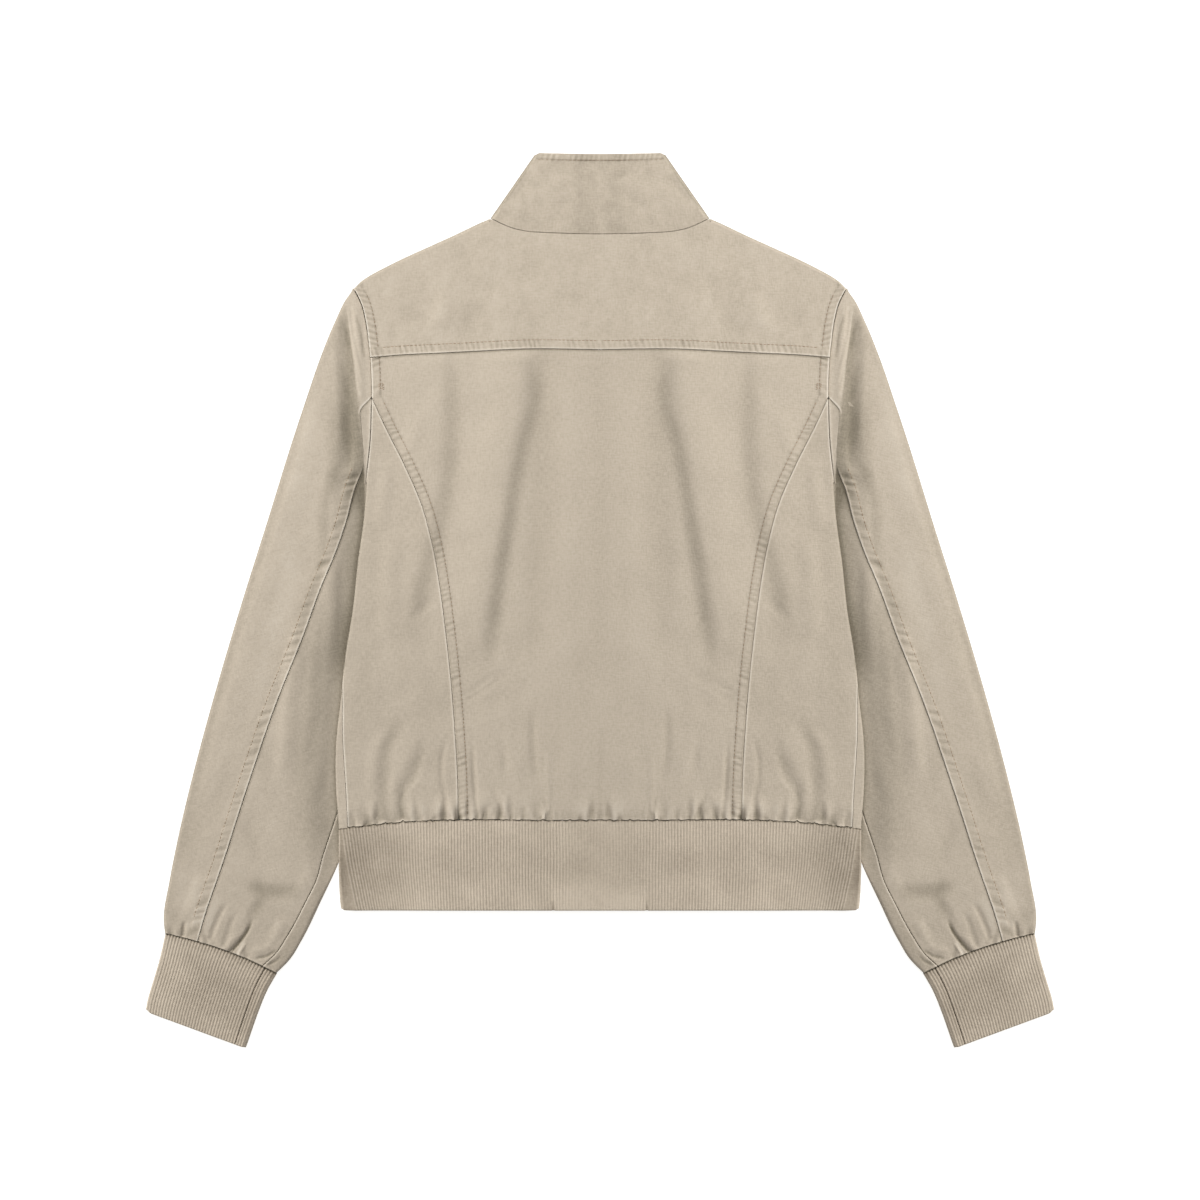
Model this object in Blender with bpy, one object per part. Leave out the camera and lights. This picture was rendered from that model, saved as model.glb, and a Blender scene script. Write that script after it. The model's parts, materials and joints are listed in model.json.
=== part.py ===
"""A short cotton jacket with ribbed cuffs and hem, lying flat with its back up.

The jacket lies face down on a level surface. +X is to the right, +Y runs from the hem to the
collar and +Z is up. The origin is on the surface, under the middle of the jacket's outline.
Every panel is a wall of cloth with an outer and an inner side. Body and sleeves are flattened
tubes: a top layer, a round fold at the side, and an under layer. The body's sides lie on the
sleeves. Sizes are in millimetres, and the right half is drawn: the left half is its mirror image.
"""
import math

import bmesh
import bpy
import numpy as np

MM = 0.001

# Cloth and seams
CLOTH = 1.2
COLLAR_WALL = 2.4
RIB_WALL = 1.4
RIB_RAISE = 0.6
HALF_SEAM = 0.17

# Heights above the surface
BODY_TOP = 6.0
SLEEVE_TOP = 5.5
SLEEVE_EDGE_DROP = 0.7
SHELTERED_TOP = 2.7
BODY_LIFT = 3.0
RIB_TOP = 6.2
CUFF_TOP = 4.6

# Landmarks along Y
UNDERARM_Y = 98.0
CORNER_Y = 168.5
HEM_Y = -258.7
NECK_CORNER = (91.3, 317.9)
COLLAR_CORNER = (53.7, 372.1)
COLLAR_MIDDLE_Y = 371.3
FRONT_NECK_Y = 208.0
FRONT_COLLAR_Y = 305.6
CUFF_SEAM_Y = -277.7
CUFF_SEAM_TILT = 33.3

# Ribs
HEM_RIBS = 168
CUFF_RIBS = 35
HEM_RIB_SLANT = 6.0
HEM_TAB_WIDTH = 39.0
HEM_LEVELS = [0, 0.45, 1]
CUFF_SEAM_INSET = 8.0
CUFF_UNDER_KEYS = [2.17, 2.33, 2.5, 2.67, 2.83]

# Outline and seams of the right half: rows of (y, x)
SIDE_EDGE = [(98, 194.6), (68, 196.8), (33, 201.6), (-10, 206.3), (-44, 211.8), (-84, 216.1),
             (-120, 219.9), (-155, 220.0), (-190, 217.6), (-222, 217.4), (-251, 216.4),
             (-259, 215.5)]
BACK_ARMHOLE = [(257.9, 204.6), (248, 199.6), (233, 195.4), (216, 192.9), (202, 191.3),
                (187, 190.4), (168.5, 190.1), (154, 190.4), (133, 191.3), (112, 193.4),
                (98, 195.0)]
FRONT_ARMHOLE = [(257.9, 203.6), (240, 190), (200, 174), (150, 172), (115, 176), (98, 181)]
PRINCESS = [(168.5, 189.8), (143, 178), (112, 162.4), (79, 148.1), (47, 139.5), (12, 133.2),
            (-31, 127.7), (-67, 123.9), (-99, 121.3), (-163, 118), (-190, 118)]
SLEEVE_OUTER = [(257.9, 206.6), (250, 212.1), (233, 220.4), (200, 233.8), (166, 245.4),
                (133, 256.3), (66, 277.1), (0, 297.9), (-67, 317.9), (-134, 336.3), (-200, 352.1),
                (-234, 358.8), (-267, 363.6), (-278, 362.5)]
SLEEVE_INNER = [(98, 192), (88, 188.6), (72, 185.6), (50, 183.9), (0, 183.1), (-50, 185.4),
                (-100, 189.6), (-142, 195.4), (-172, 202.9), (-196, 209.6), (-219, 217.9),
                (-250, 232.1), (-284, 248.8), (-300, 258.8), (-311, 269.6)]
ELBOW_SEAM = [(168.5, 190.2), (157, 198.8), (135, 202.0), (113, 198.6), (66, 210.8), (42, 218.9),
              (8, 232.9), (-34, 248.2), (-82, 267.7), (-153, 292.3), (-227, 316.3),
              (-259, 327.4), (-290, 336.6)]
CUFF_OUTER = [(-277.7, 362.1), (-300, 367.1), (-317, 372.1), (-334, 377.1), (-343, 378.6)]
CUFF_INNER = [(-311, 269.6), (-325, 277.6), (-342, 284.6), (-361, 291.3), (-373.6, 295.6)]

# Seams that run across: rows of (x, y)
NECK_SEAM = [(0, 304.6), (25, 305), (45, 305.8), (62, 307.1), (73, 309.6), (83, 313.8),
             (91.3, 317.9)]
SHOULDER = [(91.3, 317.9), (99, 314.6), (120, 304.6), (142, 294.6), (164, 284.6), (184, 274.6),
            (193, 269.6), (200, 264.6), (205, 259.4)]
YOKE_SEAM = [(0, 208.3), (66, 208.8), (100, 207.1), (133, 205.4), (166, 203.8), (191.5, 201.7)]
HEM_SEAM = [(0, -183.3), (41, -183.6), (100, -183.0), (150, -184.2), (183, -186.8),
            (206, -189.2), (221, -190.8)]
FRONT_NECKLINE = [(0, 208), (30, 242), (60, 279.5), (91.3, 317.9)]

# Rows that neighbouring panels share: places along the shoulder, and heights down the armhole
SHOULDER_STATIONS = [94.1, 97.0, 99.9, 102.8, 105.7, 118, 134, 150, 167, 184, 193, 199.5, 204.4]
CAP_ROWS = [246, 236, 224, 210, 196, 182]
ARMHOLE_ROWS = [168.5, 157, 146, 135, 124, 114, 106]

# Rise of the cuff seam above a straight line, by share of its way from outer to inner fold
CUFF_SEAM_RISE = [(0, 0), (0.3, 3.0), (0.55, 3.8), (0.8, 2.6), (1, 0)]

# Way along the cloth from the body's side fold to its side seam: rows of (y, girth), minus is up
SIDE_SEAM = [(98, 14.5), (33, 9.0), (-34, 4.0), (-70, -0.5), (-100, -4.5), (-134, -7.9),
             (-155, -9.0), (-175, -8.8), (-191, -8.4)]

# Way along the sleeve's top from the inner fold to its inner seam: rows of (y, distance)
INNER_SEAM = [(98, 3.2), (40, 6), (-60, 9), (-130, 13), (-170, 15), (-220, 14), (-311, 12)]

# Folds: path, half width, height, and the lengths over which its two ends fade
FOLDS = [
    ("beside the middle", [(58, 208), (60, 166), (66, 133), (73, 83), (79, 33), (87, -17),
                           (95, -50)], 8, -2.2, 25, 40),
    ("shoulder blade", [(92, 175), (96, 130), (98, 85), (104, 30)], 18, 1.4, 40, 40),
    ("outer back", [(120, 200), (126, 150), (127, 83), (129, 33)], 12, -1.2, 20, 30),
    ("middle", [(0, 205), (0, -85)], 7, -0.6, 30, 30),
    ("side crease", [(162, -21), (135, 2)], 5, -0.9, 12, 12),
    ("lower crease", [(116, -84), (75, -59)], 6, -0.7, 16, 16),
    ("yoke crease", [(91, 258), (108, 225)], 9, -0.8, 16, 16),
    ("gather 1", [(162, -102), (175, -121), (178, -142), (180, -159), (181, -184)], 4, -1.6, 18, 1),
    ("gather 2", [(143, -117), (151, -138), (160, -155), (165, -167), (165, -184)], 4, -1.6, 18, 1),
    ("gather 3", [(127, -117), (132, -142), (130, -163), (130, -175)], 3.6, -1.0, 14, 6),
    ("gather 4", [(106, -117), (105, -134), (104, -159), (102, -184)], 3.2, -1.4, 14, 1),
    ("gather 5", [(83, -109), (79, -134), (78, -150)], 4, -1.0, 16, 10),
    ("gather 6", [(91, -150), (79, -175), (76, -184)], 3.6, -1.0, 10, 1),
    ("gather 7", [(55, -84), (55, -113), (54, -138), (50, -155)], 4, -1.0, 20, 10),
    ("gather 8", [(45, -163), (44, -184)], 3.2, -1.2, 10, 1),
    ("gather ridge", [(44, -134), (44, -160)], 3.6, 0.8, 12, 8),
    ("middle gather", [(0, -109), (0, -142), (0, -184)], 4, -1.0, 18, 1),
]
PUCKERS = [199.5, 190, 156, 147, 138, 125, 94.5, 85.5, 64, 55, 36, 28, 17]
PUCKER_LENGTH = 15
PUCKER_WIDTH = 2.8
PUCKER_DEPTH = 0.8
SLEEVE_FOLDS = [
    ("cap crest", [(212, 220), (206, 187), (200, 157), (198, 133), (197, 115)], 4, 0.7, 12, 14),
    ("cap valley", [(213, 224), (212, 195), (210, 166), (208, 135), (205, 106)], 7, -2.0, 16, 14),
    ("upper arm", [(275, 66), (300, -42), (320, -159)], 11, -0.8, 40, 40),
    ("inner arm", [(240, 0), (240, -60), (240, -110), (238, -150)], 8, -0.8, 30, 20),
    ("forearm crease", [(295, -184), (279, -221)], 5, -0.9, 14, 14),
    ("wrist dimple", [(295, -240), (258, -240)], 6, -0.9, 12, 12),
    ("cuff crease 1", [(311, -252), (329, -280)], 4, -1.1, 10, 1),
    ("cuff crease 2", [(293, -275), (310, -294)], 4, -1.1, 10, 1),
    ("cuff crease 3", [(275, -297), (288, -300)], 3.5, -0.7, 6, 6),
]

# Colours, in linear values, with roughness
TWILL = (0.565, 0.489, 0.393, 1.0)
RIB_KNIT = (0.468, 0.392, 0.314, 1.0)
CLOTH_ROUGHNESS = 0.9


def curve(rows):
    """A smooth line through rows of (place, value), as a function of place."""
    place, value = np.array(sorted(rows), dtype=float).T
    slope = np.gradient(value, place)

    def read(at):
        at = np.clip(at, place[0], place[-1])
        i = np.clip(np.searchsorted(place, at) - 1, 0, len(place) - 2)
        span = place[i + 1] - place[i]
        t = (at - place[i]) / span
        ends = value[i] * (1 - t) ** 2 * (1 + 2 * t) + value[i + 1] * t * t * (3 - 2 * t)
        return ends + span * (slope[i] * t * (1 - t) ** 2 - slope[i + 1] * t * t * (1 - t))

    return read


def smooth(t):
    """An even step from 0 to 1 while t goes from 0 to 1."""
    t = min(max(t, 0.0), 1.0)
    return t * t * (3 - 2 * t)


def steps(first, last, spacing):
    """Even steps from first to last, about a spacing apart, both ends included."""
    return np.linspace(first, last, max(2, int(round(abs(last - first) / spacing)) + 1))


side_edge = curve(SIDE_EDGE)
back_armhole = curve(BACK_ARMHOLE)
front_armhole = curve(FRONT_ARMHOLE)
princess = curve(PRINCESS)
sleeve_outer = curve(SLEEVE_OUTER)
sleeve_inner = curve(SLEEVE_INNER)
elbow_seam = curve(ELBOW_SEAM)
cuff_outer = curve(CUFF_OUTER)
cuff_inner = curve(CUFF_INNER)
neck_seam = curve(NECK_SEAM)
shoulder = curve(SHOULDER)
yoke_seam = curve(YOKE_SEAM)
hem_seam = curve(HEM_SEAM)
front_neckline = curve(FRONT_NECKLINE)
neckline_x = curve([(y, x) for x, y in FRONT_NECKLINE])
cuff_seam_rise = curve(CUFF_SEAM_RISE)
side_seam = curve(SIDE_SEAM)
inner_seam = curve(INNER_SEAM)

# The line up to which the body shelters the sleeve, and past the hem a line inside the sleeve
shelter = curve([row for row in SIDE_EDGE if row[0] > -200]
                + [(-215, 217.4), (-245, 211), (-270, 222), (-311, 250)])


def seam_gap(line, at):
    """Half the seam's gap, measured across the rows of a seam that may slant."""
    slant = (line(at + 1.0) - line(at - 1.0)) / 2
    return HALF_SEAM * math.hypot(1, slant)


def relief(x, y, folds):
    """Height that a table of folds adds at a place: a soft trough or ridge with a lip beside it."""
    height = 0.0
    for _, path, half_width, rise, fade_in, fade_out in folds:
        nearest, along, length = 1e9, 0.0, 0.0
        for (x0, y0), (x1, y1) in zip(path[:-1], path[1:]):
            span = math.hypot(x1 - x0, y1 - y0)
            share = ((x - x0) * (x1 - x0) + (y - y0) * (y1 - y0)) / span ** 2
            share = min(max(share, 0.0), 1.0)
            away = math.hypot(x - x0 - share * (x1 - x0), y - y0 - share * (y1 - y0))
            if away < nearest:
                nearest, along = away, length + share * span
            length += span
        q = nearest / half_width
        if q < 2.4:
            bell = 0.5 + 0.5 * math.cos(math.pi * min(q, 1.0))
            lip = 0.5 + 0.5 * math.cos(math.pi * min(abs(q - 1.5) / 0.9, 1.0))
            fade = smooth(along / fade_in) * smooth((length - along) / fade_out)
            height += rise * (bell - 0.3 * lip) * fade
    return height


def body_lift(x, y):
    """How far the body's under layer is held off the surface by the sleeve below it."""
    return BODY_LIFT * smooth((abs(x) - sleeve_inner(y) + 13) / 12)


def body_top(x, y):
    """Outer height of the body's top layer."""
    x = abs(x)
    height = BODY_TOP + relief(x, y, FOLDS)
    above_seam = y - hem_seam(x)
    if above_seam < PUCKER_LENGTH:
        fade = 1 - smooth(above_seam / PUCKER_LENGTH)
        for place in PUCKERS:
            q = abs(x - place) / PUCKER_WIDTH
            if q < 1:
                height -= PUCKER_DEPTH * fade * (0.5 + 0.5 * math.cos(math.pi * q))
    least = body_lift(x, y) + 2 * CLOTH + 0.3
    return max(height, least)


def sleeve_top(x, y):
    """Outer height of the sleeve's top layer: low under the body, fuller beside it."""
    x = abs(x)
    if y > UNDERARM_Y:
        start = back_armhole(y)
        start_rise = (BODY_TOP - SHELTERED_TOP) * smooth((y - UNDERARM_Y - 1) / 16)
    else:
        start = shelter(y) + 2.5
        start_rise = 0.0
    way = smooth((x - start) / 18)
    edge = smooth(1 - (sleeve_outer(y) - x) / 25)
    full_rise = SLEEVE_TOP - SHELTERED_TOP - SLEEVE_EDGE_DROP * edge
    height = SHELTERED_TOP + start_rise * (1 - way) + full_rise * way
    height += relief(x, y, SLEEVE_FOLDS) * min(1.0, 0.2 + way)
    near_cuff = smooth((-245 - y) / 40)
    height += (CUFF_TOP + 0.2 - height) * near_cuff * 0.7
    return max(height, SHELTERED_TOP)


def fold_point(edge, outward, half_width, low, high, turn, wall):
    """Outer and inner point of a fold whose turn runs from 0 (top layer) to 1 (under layer)."""
    angle = math.pi * (0.5 - turn)
    middle, half_height = (low + high) / 2, (high - low) / 2
    pair = []
    for scale in (1.0, 1.0 - wall / half_height):
        reach = half_width * (scale * math.cos(angle) - 1)
        pair.append((edge[0] + outward[0] * reach, edge[1] + outward[1] * reach,
                     middle + half_height * scale * math.sin(angle)))
    return pair


def top_point(x, y, wall=CLOTH):
    """Outer and inner point on the body's top layer."""
    z = body_top(x, y)
    return [(x, y, z), (x, y, z - wall)]


def under_point(x, y, wall=CLOTH):
    """Outer and inner point on the body's under layer."""
    z = body_lift(x, y)
    return [(x, y, z), (x, y, z + wall)]


class Wall:
    """A wall of cloth, built row by row from paired outer and inner points.

    Each point has a key that tells how far it is along its row. Two rows are joined by
    triangles that always step to the nearer key, so a row may hold more points than the next.
    """

    def __init__(self):
        self.outer = []
        self.inner = []
        self.faces = []
        self.last = None

    def row(self, keys, point, low=-1e9, high=1e9, join=True):
        """Add the points that ``point`` gives for each key, and join them to the row before."""
        new = []
        for key in keys:
            outer, inner = point(key)
            new.append((key, len(self.outer)))
            self.outer.append(outer)
            self.inner.append(inner)
        if self.last and join:
            first = [item for item in self.last if low - 1e-6 <= item[0] <= high + 1e-6]
            second = [item for item in new if low - 1e-6 <= item[0] <= high + 1e-6]
            self.faces += strip(first, second)
        self.last = new

    def solid(self, name, colour, mirrored=False):
        """Close the wall round its edges and make it an object."""
        count = len(self.outer)
        faces = list(self.faces)
        faces += [(c + count, b + count, a + count) for a, b, c in self.faces]
        sides = {(f[i], f[(i + 1) % 3]) for f in self.faces for i in range(3)}
        for a, b in sides:
            if (b, a) not in sides:
                faces.append((b, a, a + count, b + count))
        return make_object(name, self.outer + self.inner, faces, colour, mirrored)


def strip(first, second):
    """Triangles between two rows of (key, number), stepping to the nearer key each time."""
    faces = []
    i = j = 0
    while i < len(first) - 1 or j < len(second) - 1:
        step_first = j == len(second) - 1
        if i < len(first) - 1 and j < len(second) - 1:
            step_first = first[i + 1][0] < second[j + 1][0]
        if step_first:
            faces.append((first[i][1], first[i + 1][1], second[j][1]))
            i += 1
        else:
            faces.append((first[i][1], second[j + 1][1], second[j][1]))
            j += 1
    return faces


def make_object(name, points, faces, colour, mirrored=False):
    """A closed mesh object in metres, with its faces pointing out."""
    side = -1 if mirrored else 1
    mesh = bpy.data.meshes.new(name)
    mesh.from_pydata([(side * x * MM, y * MM, z * MM) for x, y, z in points], [], faces)
    solid = bmesh.new()
    solid.from_mesh(mesh)
    bmesh.ops.recalc_face_normals(solid, faces=solid.faces)
    bmesh.ops.triangulate(solid, faces=solid.faces)
    if solid.calc_volume(signed=True) < 0:
        bmesh.ops.reverse_faces(solid, faces=solid.faces)
    solid.to_mesh(mesh)
    solid.free()
    mesh.shade_smooth()
    mesh.set_sharp_from_angle(angle=math.radians(40))
    mesh.materials.append(cloth_material(colour))
    item = bpy.data.objects.new(name, mesh)
    bpy.context.scene.collection.objects.link(item)
    return item


def cloth_material(colour):
    """The one material for each colour of cloth."""
    name = "rib_knit" if colour == RIB_KNIT else "cotton_twill"
    material = bpy.data.materials.get(name)
    if material is None:
        material = bpy.data.materials.new(name)
        material.use_nodes = True
        shader = material.node_tree.nodes["Principled BSDF"]
        shader.inputs["Base Color"].default_value = colour
        shader.inputs["Roughness"].default_value = CLOTH_ROUGHNESS
        shader.inputs["Metallic"].default_value = 0.0
    return material


def keys_between(first, last, grid, clear=0.012):
    """First and last key with the grid keys between them, none too near either end."""
    inside = [key for key in grid if first + clear < key < last - clear]
    return [first] + inside + [last]


def ring_grid(top_step, extra=()):
    """Keys round a flattened tube: 0 to 1 on top, 1 to 2 round the fold, 2 to 3 beneath."""
    top = list(np.arange(0, 1, top_step))
    fold = [1, 1.3, 1.7, 2]
    beneath = [2.5]
    return sorted(top + fold + beneath + list(extra))


def body_ring(drop):
    """Section of the body below the underarm: ``drop`` is 0 there and 1 at the hem seam."""

    def y_at(x):
        return UNDERARM_Y + (hem_seam(abs(x)) + HALF_SEAM - UNDERARM_Y) * drop

    half = side_edge(y_at(218))
    half = side_edge(y_at(half))
    y_edge = y_at(half)
    low = body_lift(half, y_edge)
    high = body_top(half - 2, y_edge)
    fold = (high - low) / 2
    flat = half - fold

    def point(key):
        if key <= 1:
            return top_point(flat * key, y_at(flat * key))
        if key < 2:
            return fold_point((half, y_edge), (1, 0), fold, low, high, key - 1, CLOTH)
        x = flat * (3 - key)
        return under_point(x, y_at(x))

    def seam_key(girth):
        """Key of a place on the ring, from its way along the cloth past the fold's middle."""
        quarter = math.pi * fold / 2
        if girth < -quarter:
            return 1 + (girth + quarter) / flat
        if girth > quarter:
            return 2 + (girth - quarter) / flat
        return 1.5 + girth / quarter / 2

    ring = {"point": point, "flat": flat, "y": y_edge, "y_at": y_at}
    ring["seam"] = seam_key(side_seam(y_edge))
    ring["gap"] = HALF_SEAM / flat
    if 1 < ring["seam"] < 2:
        ring["gap"] = HALF_SEAM / (math.pi * fold)
    step_in, step_out = sleeve_inner(y_edge) - 13, sleeve_inner(y_edge) - 1
    ring["lift_keys"] = [2 + (flat - x) / flat for x in (step_in, step_out) if x < flat]
    return ring


def drops(coarse, fine):
    """Rows of the body from the underarm to the hem seam, closer together at the gathers."""
    height = UNDERARM_Y - hem_seam(120)
    gathered = 1 - 62 / height
    upper = steps(0, gathered, coarse / height)
    lower = steps(gathered, 1, fine / height)
    return list(upper[:-1]) + list(lower)


def side_of_back(y):
    """Outer edge of the middle back panel: the armhole above its corner, then the long seam."""
    line = back_armhole if y > CORNER_Y else princess
    return line(y) - seam_gap(line, y)


def make_back_centre():
    """The wide middle back panel, from the yoke seam to the gathered hem seam."""
    wall = Wall()

    def row_y(share, x):
        top = yoke_seam(abs(x)) - HALF_SEAM
        return top + (hem_seam(abs(x)) + HALF_SEAM - top) * share

    height = yoke_seam(0) - hem_seam(0)
    corner = (yoke_seam(190) - CORNER_Y) / (yoke_seam(190) - hem_seam(150))
    gathered = 1 - 75 / height
    shares = list(steps(0, corner, 16 / height))
    shares += list(steps(corner, gathered, 19 / height)[1:])
    shares += list(steps(gathered, 1, 11 / height)[1:])
    for share in shares:
        width = 150.0
        for _ in range(6):
            width = side_of_back(row_y(share, width))
        if share <= corner + 1e-6:
            width = min(width, back_armhole(row_y(share, 190)) - HALF_SEAM - 0.05)

        def point(key):
            x = width * key
            return top_point(x, row_y(share, x))

        spacing = 5.4 if share > gathered + 1e-6 else 14
        wall.row(steps(-1, 1, spacing / width), point)
    wall.solid("back_centre", TWILL)


def make_back_side(name, mirrored):
    """The side back panel, from the curved seam round the side fold to the side seam."""
    wall = Wall()
    for y in [CORNER_Y - 4] + ARMHOLE_ROWS[1:] + [UNDERARM_Y + 0.3]:
        first = princess(y) + seam_gap(princess, y)
        last = back_armhole(y) - seam_gap(back_armhole, y)
        keys = keys_between(first / last, 1, np.arange(0, 1, 0.08))
        wall.row(keys, lambda key: top_point(key * last, y))
    for number, drop in enumerate(drops(13, 9)):
        ring = body_ring(drop)
        x = 140.0
        for _ in range(6):
            x = princess(ring["y_at"](x)) + seam_gap(princess, ring["y_at"](x))
        fine = 0.024 if ring["y"] < -128 else 0.08
        grid = ring_grid(fine, ring["lift_keys"])
        keys = keys_between(x / ring["flat"], ring["seam"] - ring["gap"], grid)
        wall.row(keys, ring["point"], high=1 if number == 0 else 9)
    wall.solid(name, TWILL, mirrored)


def shoulder_turn(x):
    """How far the yoke reaches round the shoulder fold: not at the neck, wholly from 14 mm on."""
    return 0.94 * min((x - NECK_CORNER[0]) / 14.4, 1.0)


def shoulder_fold(x, turn):
    """Point of the shoulder's fold above or below the place x on the shoulder line."""
    x = min(max(x, NECK_CORNER[0] + 0.1), SHOULDER[-1][0] - 0.1)
    slope = (shoulder(x + 0.1) - shoulder(x - 0.1)) / 0.2
    outward = (-slope / math.hypot(1, slope), 1 / math.hypot(1, slope))
    return fold_point((x, shoulder(x)), outward, BODY_TOP / 2, 0, BODY_TOP, turn, CLOTH)


def make_back_yoke():
    """The yoke across both shoulders, from the yoke seam to the neck and over the shoulders."""
    wall = Wall()
    levels = [0, 0.25, 0.5, 0.75, 1]
    neck_share = 0.44
    neck_columns = list(steps(0, neck_share, 0.063))
    reach_x = SHOULDER_STATIONS[-1] - NECK_CORNER[0]
    shoulder_columns = [neck_share + (1 - neck_share) * (x - NECK_CORNER[0]) / reach_x
                        for x in SHOULDER_STATIONS]
    columns = [-c for c in reversed(neck_columns[1:] + shoulder_columns)]
    columns += neck_columns + shoulder_columns
    for column in columns:
        side = 1 if column >= 0 else -1
        share = abs(column)
        over_neck = share <= neck_share
        x_top = share / neck_share * (NECK_CORNER[0] - 1.5)
        if not over_neck:
            x_top = NECK_CORNER[0] + (share - neck_share) / (1 - neck_share) * reach_x
        foot_x = share * (back_armhole(yoke_seam(190)) - HALF_SEAM - 0.05)
        foot = (foot_x, yoke_seam(foot_x) + HALF_SEAM)
        if over_neck:
            head = (x_top, neck_seam(x_top) - HALF_SEAM - 0.05)
        else:
            head = shoulder_fold(x_top, 0)[0][:2]

        def point(key):
            if key <= 1:
                x = foot[0] + (head[0] - foot[0]) * key
                y = foot[1] + (head[1] - foot[1]) * key
                if share > 0.99:
                    x = back_armhole(y) - seam_gap(back_armhole, y)
                outer, inner = top_point(side * x, y)
            else:
                outer, inner = shoulder_fold(x_top, key - 1)
                outer, inner = [(side * p[0], p[1], p[2]) for p in (outer, inner)]
            return outer, inner

        keys = list(levels)
        if not over_neck:
            reach = shoulder_turn(x_top)
            keys += [1 + reach * part for part in (0.25, 0.5, 0.75, 1)]
        wall.row(keys, point)
    wall.solid("back_yoke", TWILL)


def make_front(name, mirrored):
    """The hidden front, from the shoulder and neckline down to the hem, one layer underneath."""
    wall = Wall()
    reference = 210.0

    def key_of(x):
        return 3 - x / reference

    def flat_point(key, y):
        return under_point((3 - key) * reference, y)

    for x_line in SHOULDER_STATIONS:
        turn = shoulder_turn(x_line) + 0.05
        start_x = shoulder_fold(x_line, 1)[0][0]
        start_y = shoulder_fold(x_line, 1)[0][1]
        neck = neckline_x(start_y) + seam_gap(neckline_x, start_y) if start_y > FRONT_NECK_Y else 0
        turns = [1.99] if turn > 0.9 else [1 + turn, 1.5 + turn / 2]

        def point(key):
            if key < 2:
                return shoulder_fold(x_line, key - 1)
            return flat_point(key, start_y)

        keys = turns + keys_between(key_of(start_x), key_of(neck), np.arange(2, 3, 0.12))
        wall.row(keys, point)
    rows = [252] + CAP_ROWS + ARMHOLE_ROWS + [UNDERARM_Y + 0.1]
    for number, y in enumerate(rows):
        first = front_armhole(y) - seam_gap(front_armhole, y)
        last = HALF_SEAM
        if y > FRONT_NECK_Y:
            last = neckline_x(y) + seam_gap(neckline_x, y)
        keys = keys_between(key_of(first), key_of(last), np.arange(2, 3, 0.12))
        wall.row(keys, lambda key: flat_point(key, y), low=key_of(203) if number == 0 else -9)
    for drop in drops(13, 9):
        ring = body_ring(drop)
        first = ring["seam"] + ring["gap"]
        last = 3 - HALF_SEAM / ring["flat"]
        across = [2 + n / 10 for n in range(1, 10)] if drop == 1 else []
        keys = keys_between(first, last, ring_grid(2, ring["lift_keys"] + across), 0.004)
        wall.row(keys, ring["point"])
    wall.solid(name, TWILL, mirrored)


def make_collar():
    """The stand collar: a doubled band folded at its sides, its front ends lying underneath."""
    wall = Wall()
    across = np.array(COLLAR_CORNER) - np.array(NECK_CORNER)
    length = math.hypot(*across)
    outward = (across[1] / length, -across[0] / length)
    levels = [0, 0.3, 0.7, 1]
    fold = BODY_TOP / 2

    def line_point(lower, upper, level, low, high):
        x = lower[0] + (upper[0] - lower[0]) * level
        y = lower[1] + (upper[1] - lower[1]) * level
        return [(x, y, low), (x, y, high)]

    def station(side, kind, share):
        """One line across the band, from its neck edge (0) to its free edge (1)."""

        def point(level):
            if kind == "turn":
                edge = np.array(NECK_CORNER) + across * (0.005 + 0.995 * level)
                pair = fold_point(edge, outward, fold, 0, BODY_TOP, share, COLLAR_WALL)
            elif kind == "back":
                x_low = share * (NECK_CORNER[0] - fold * outward[0])
                x_high = share * (COLLAR_CORNER[0] - fold * outward[0])
                lower = (x_low, neck_seam(x_low) + HALF_SEAM + 0.05)
                rise = (COLLAR_CORNER[1] - fold * outward[1] - COLLAR_MIDDLE_Y) * share ** 2
                upper = (x_high, COLLAR_MIDDLE_Y + rise)
                crown = 0.7 * math.sin(math.pi * level)
                pair = line_point(lower, upper, level, BODY_TOP + crown,
                                  BODY_TOP + crown - COLLAR_WALL)
            else:
                x_low = HALF_SEAM + share * (NECK_CORNER[0] - fold * outward[0] - HALF_SEAM)
                x_high = HALF_SEAM + share * (COLLAR_CORNER[0] - fold * outward[0] - HALF_SEAM)
                upper_end = COLLAR_CORNER[1] - fold * outward[1]
                gap = seam_gap(front_neckline, x_low)
                lower = (x_low, front_neckline(x_low) + gap)
                upper = (x_high, FRONT_COLLAR_Y + (upper_end - FRONT_COLLAR_Y) * share)
                pair = line_point(lower, upper, level, 0.0, COLLAR_WALL)
            return [(side * x, y, z) for x, y, z in pair]

        return point

    front = [0, 0.2, 0.4, 0.6, 0.8, 0.99]
    turns = [0.8, 0.6, 0.4, 0.2]
    back = [1, 0.88, 0.75, 0.6, 0.4, 0.2]
    half = [("front", share) for share in front] + [("turn", share) for share in turns]
    half += [("back", share) for share in back]
    stations = [(1, kind, share) for kind, share in half] + [(1, "back", 0)]
    stations += [(-1, kind, share) for kind, share in reversed(half)]
    for side, kind, share in stations:
        wall.row(levels, station(side, kind, share))
    wall.solid("collar", TWILL)


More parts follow.
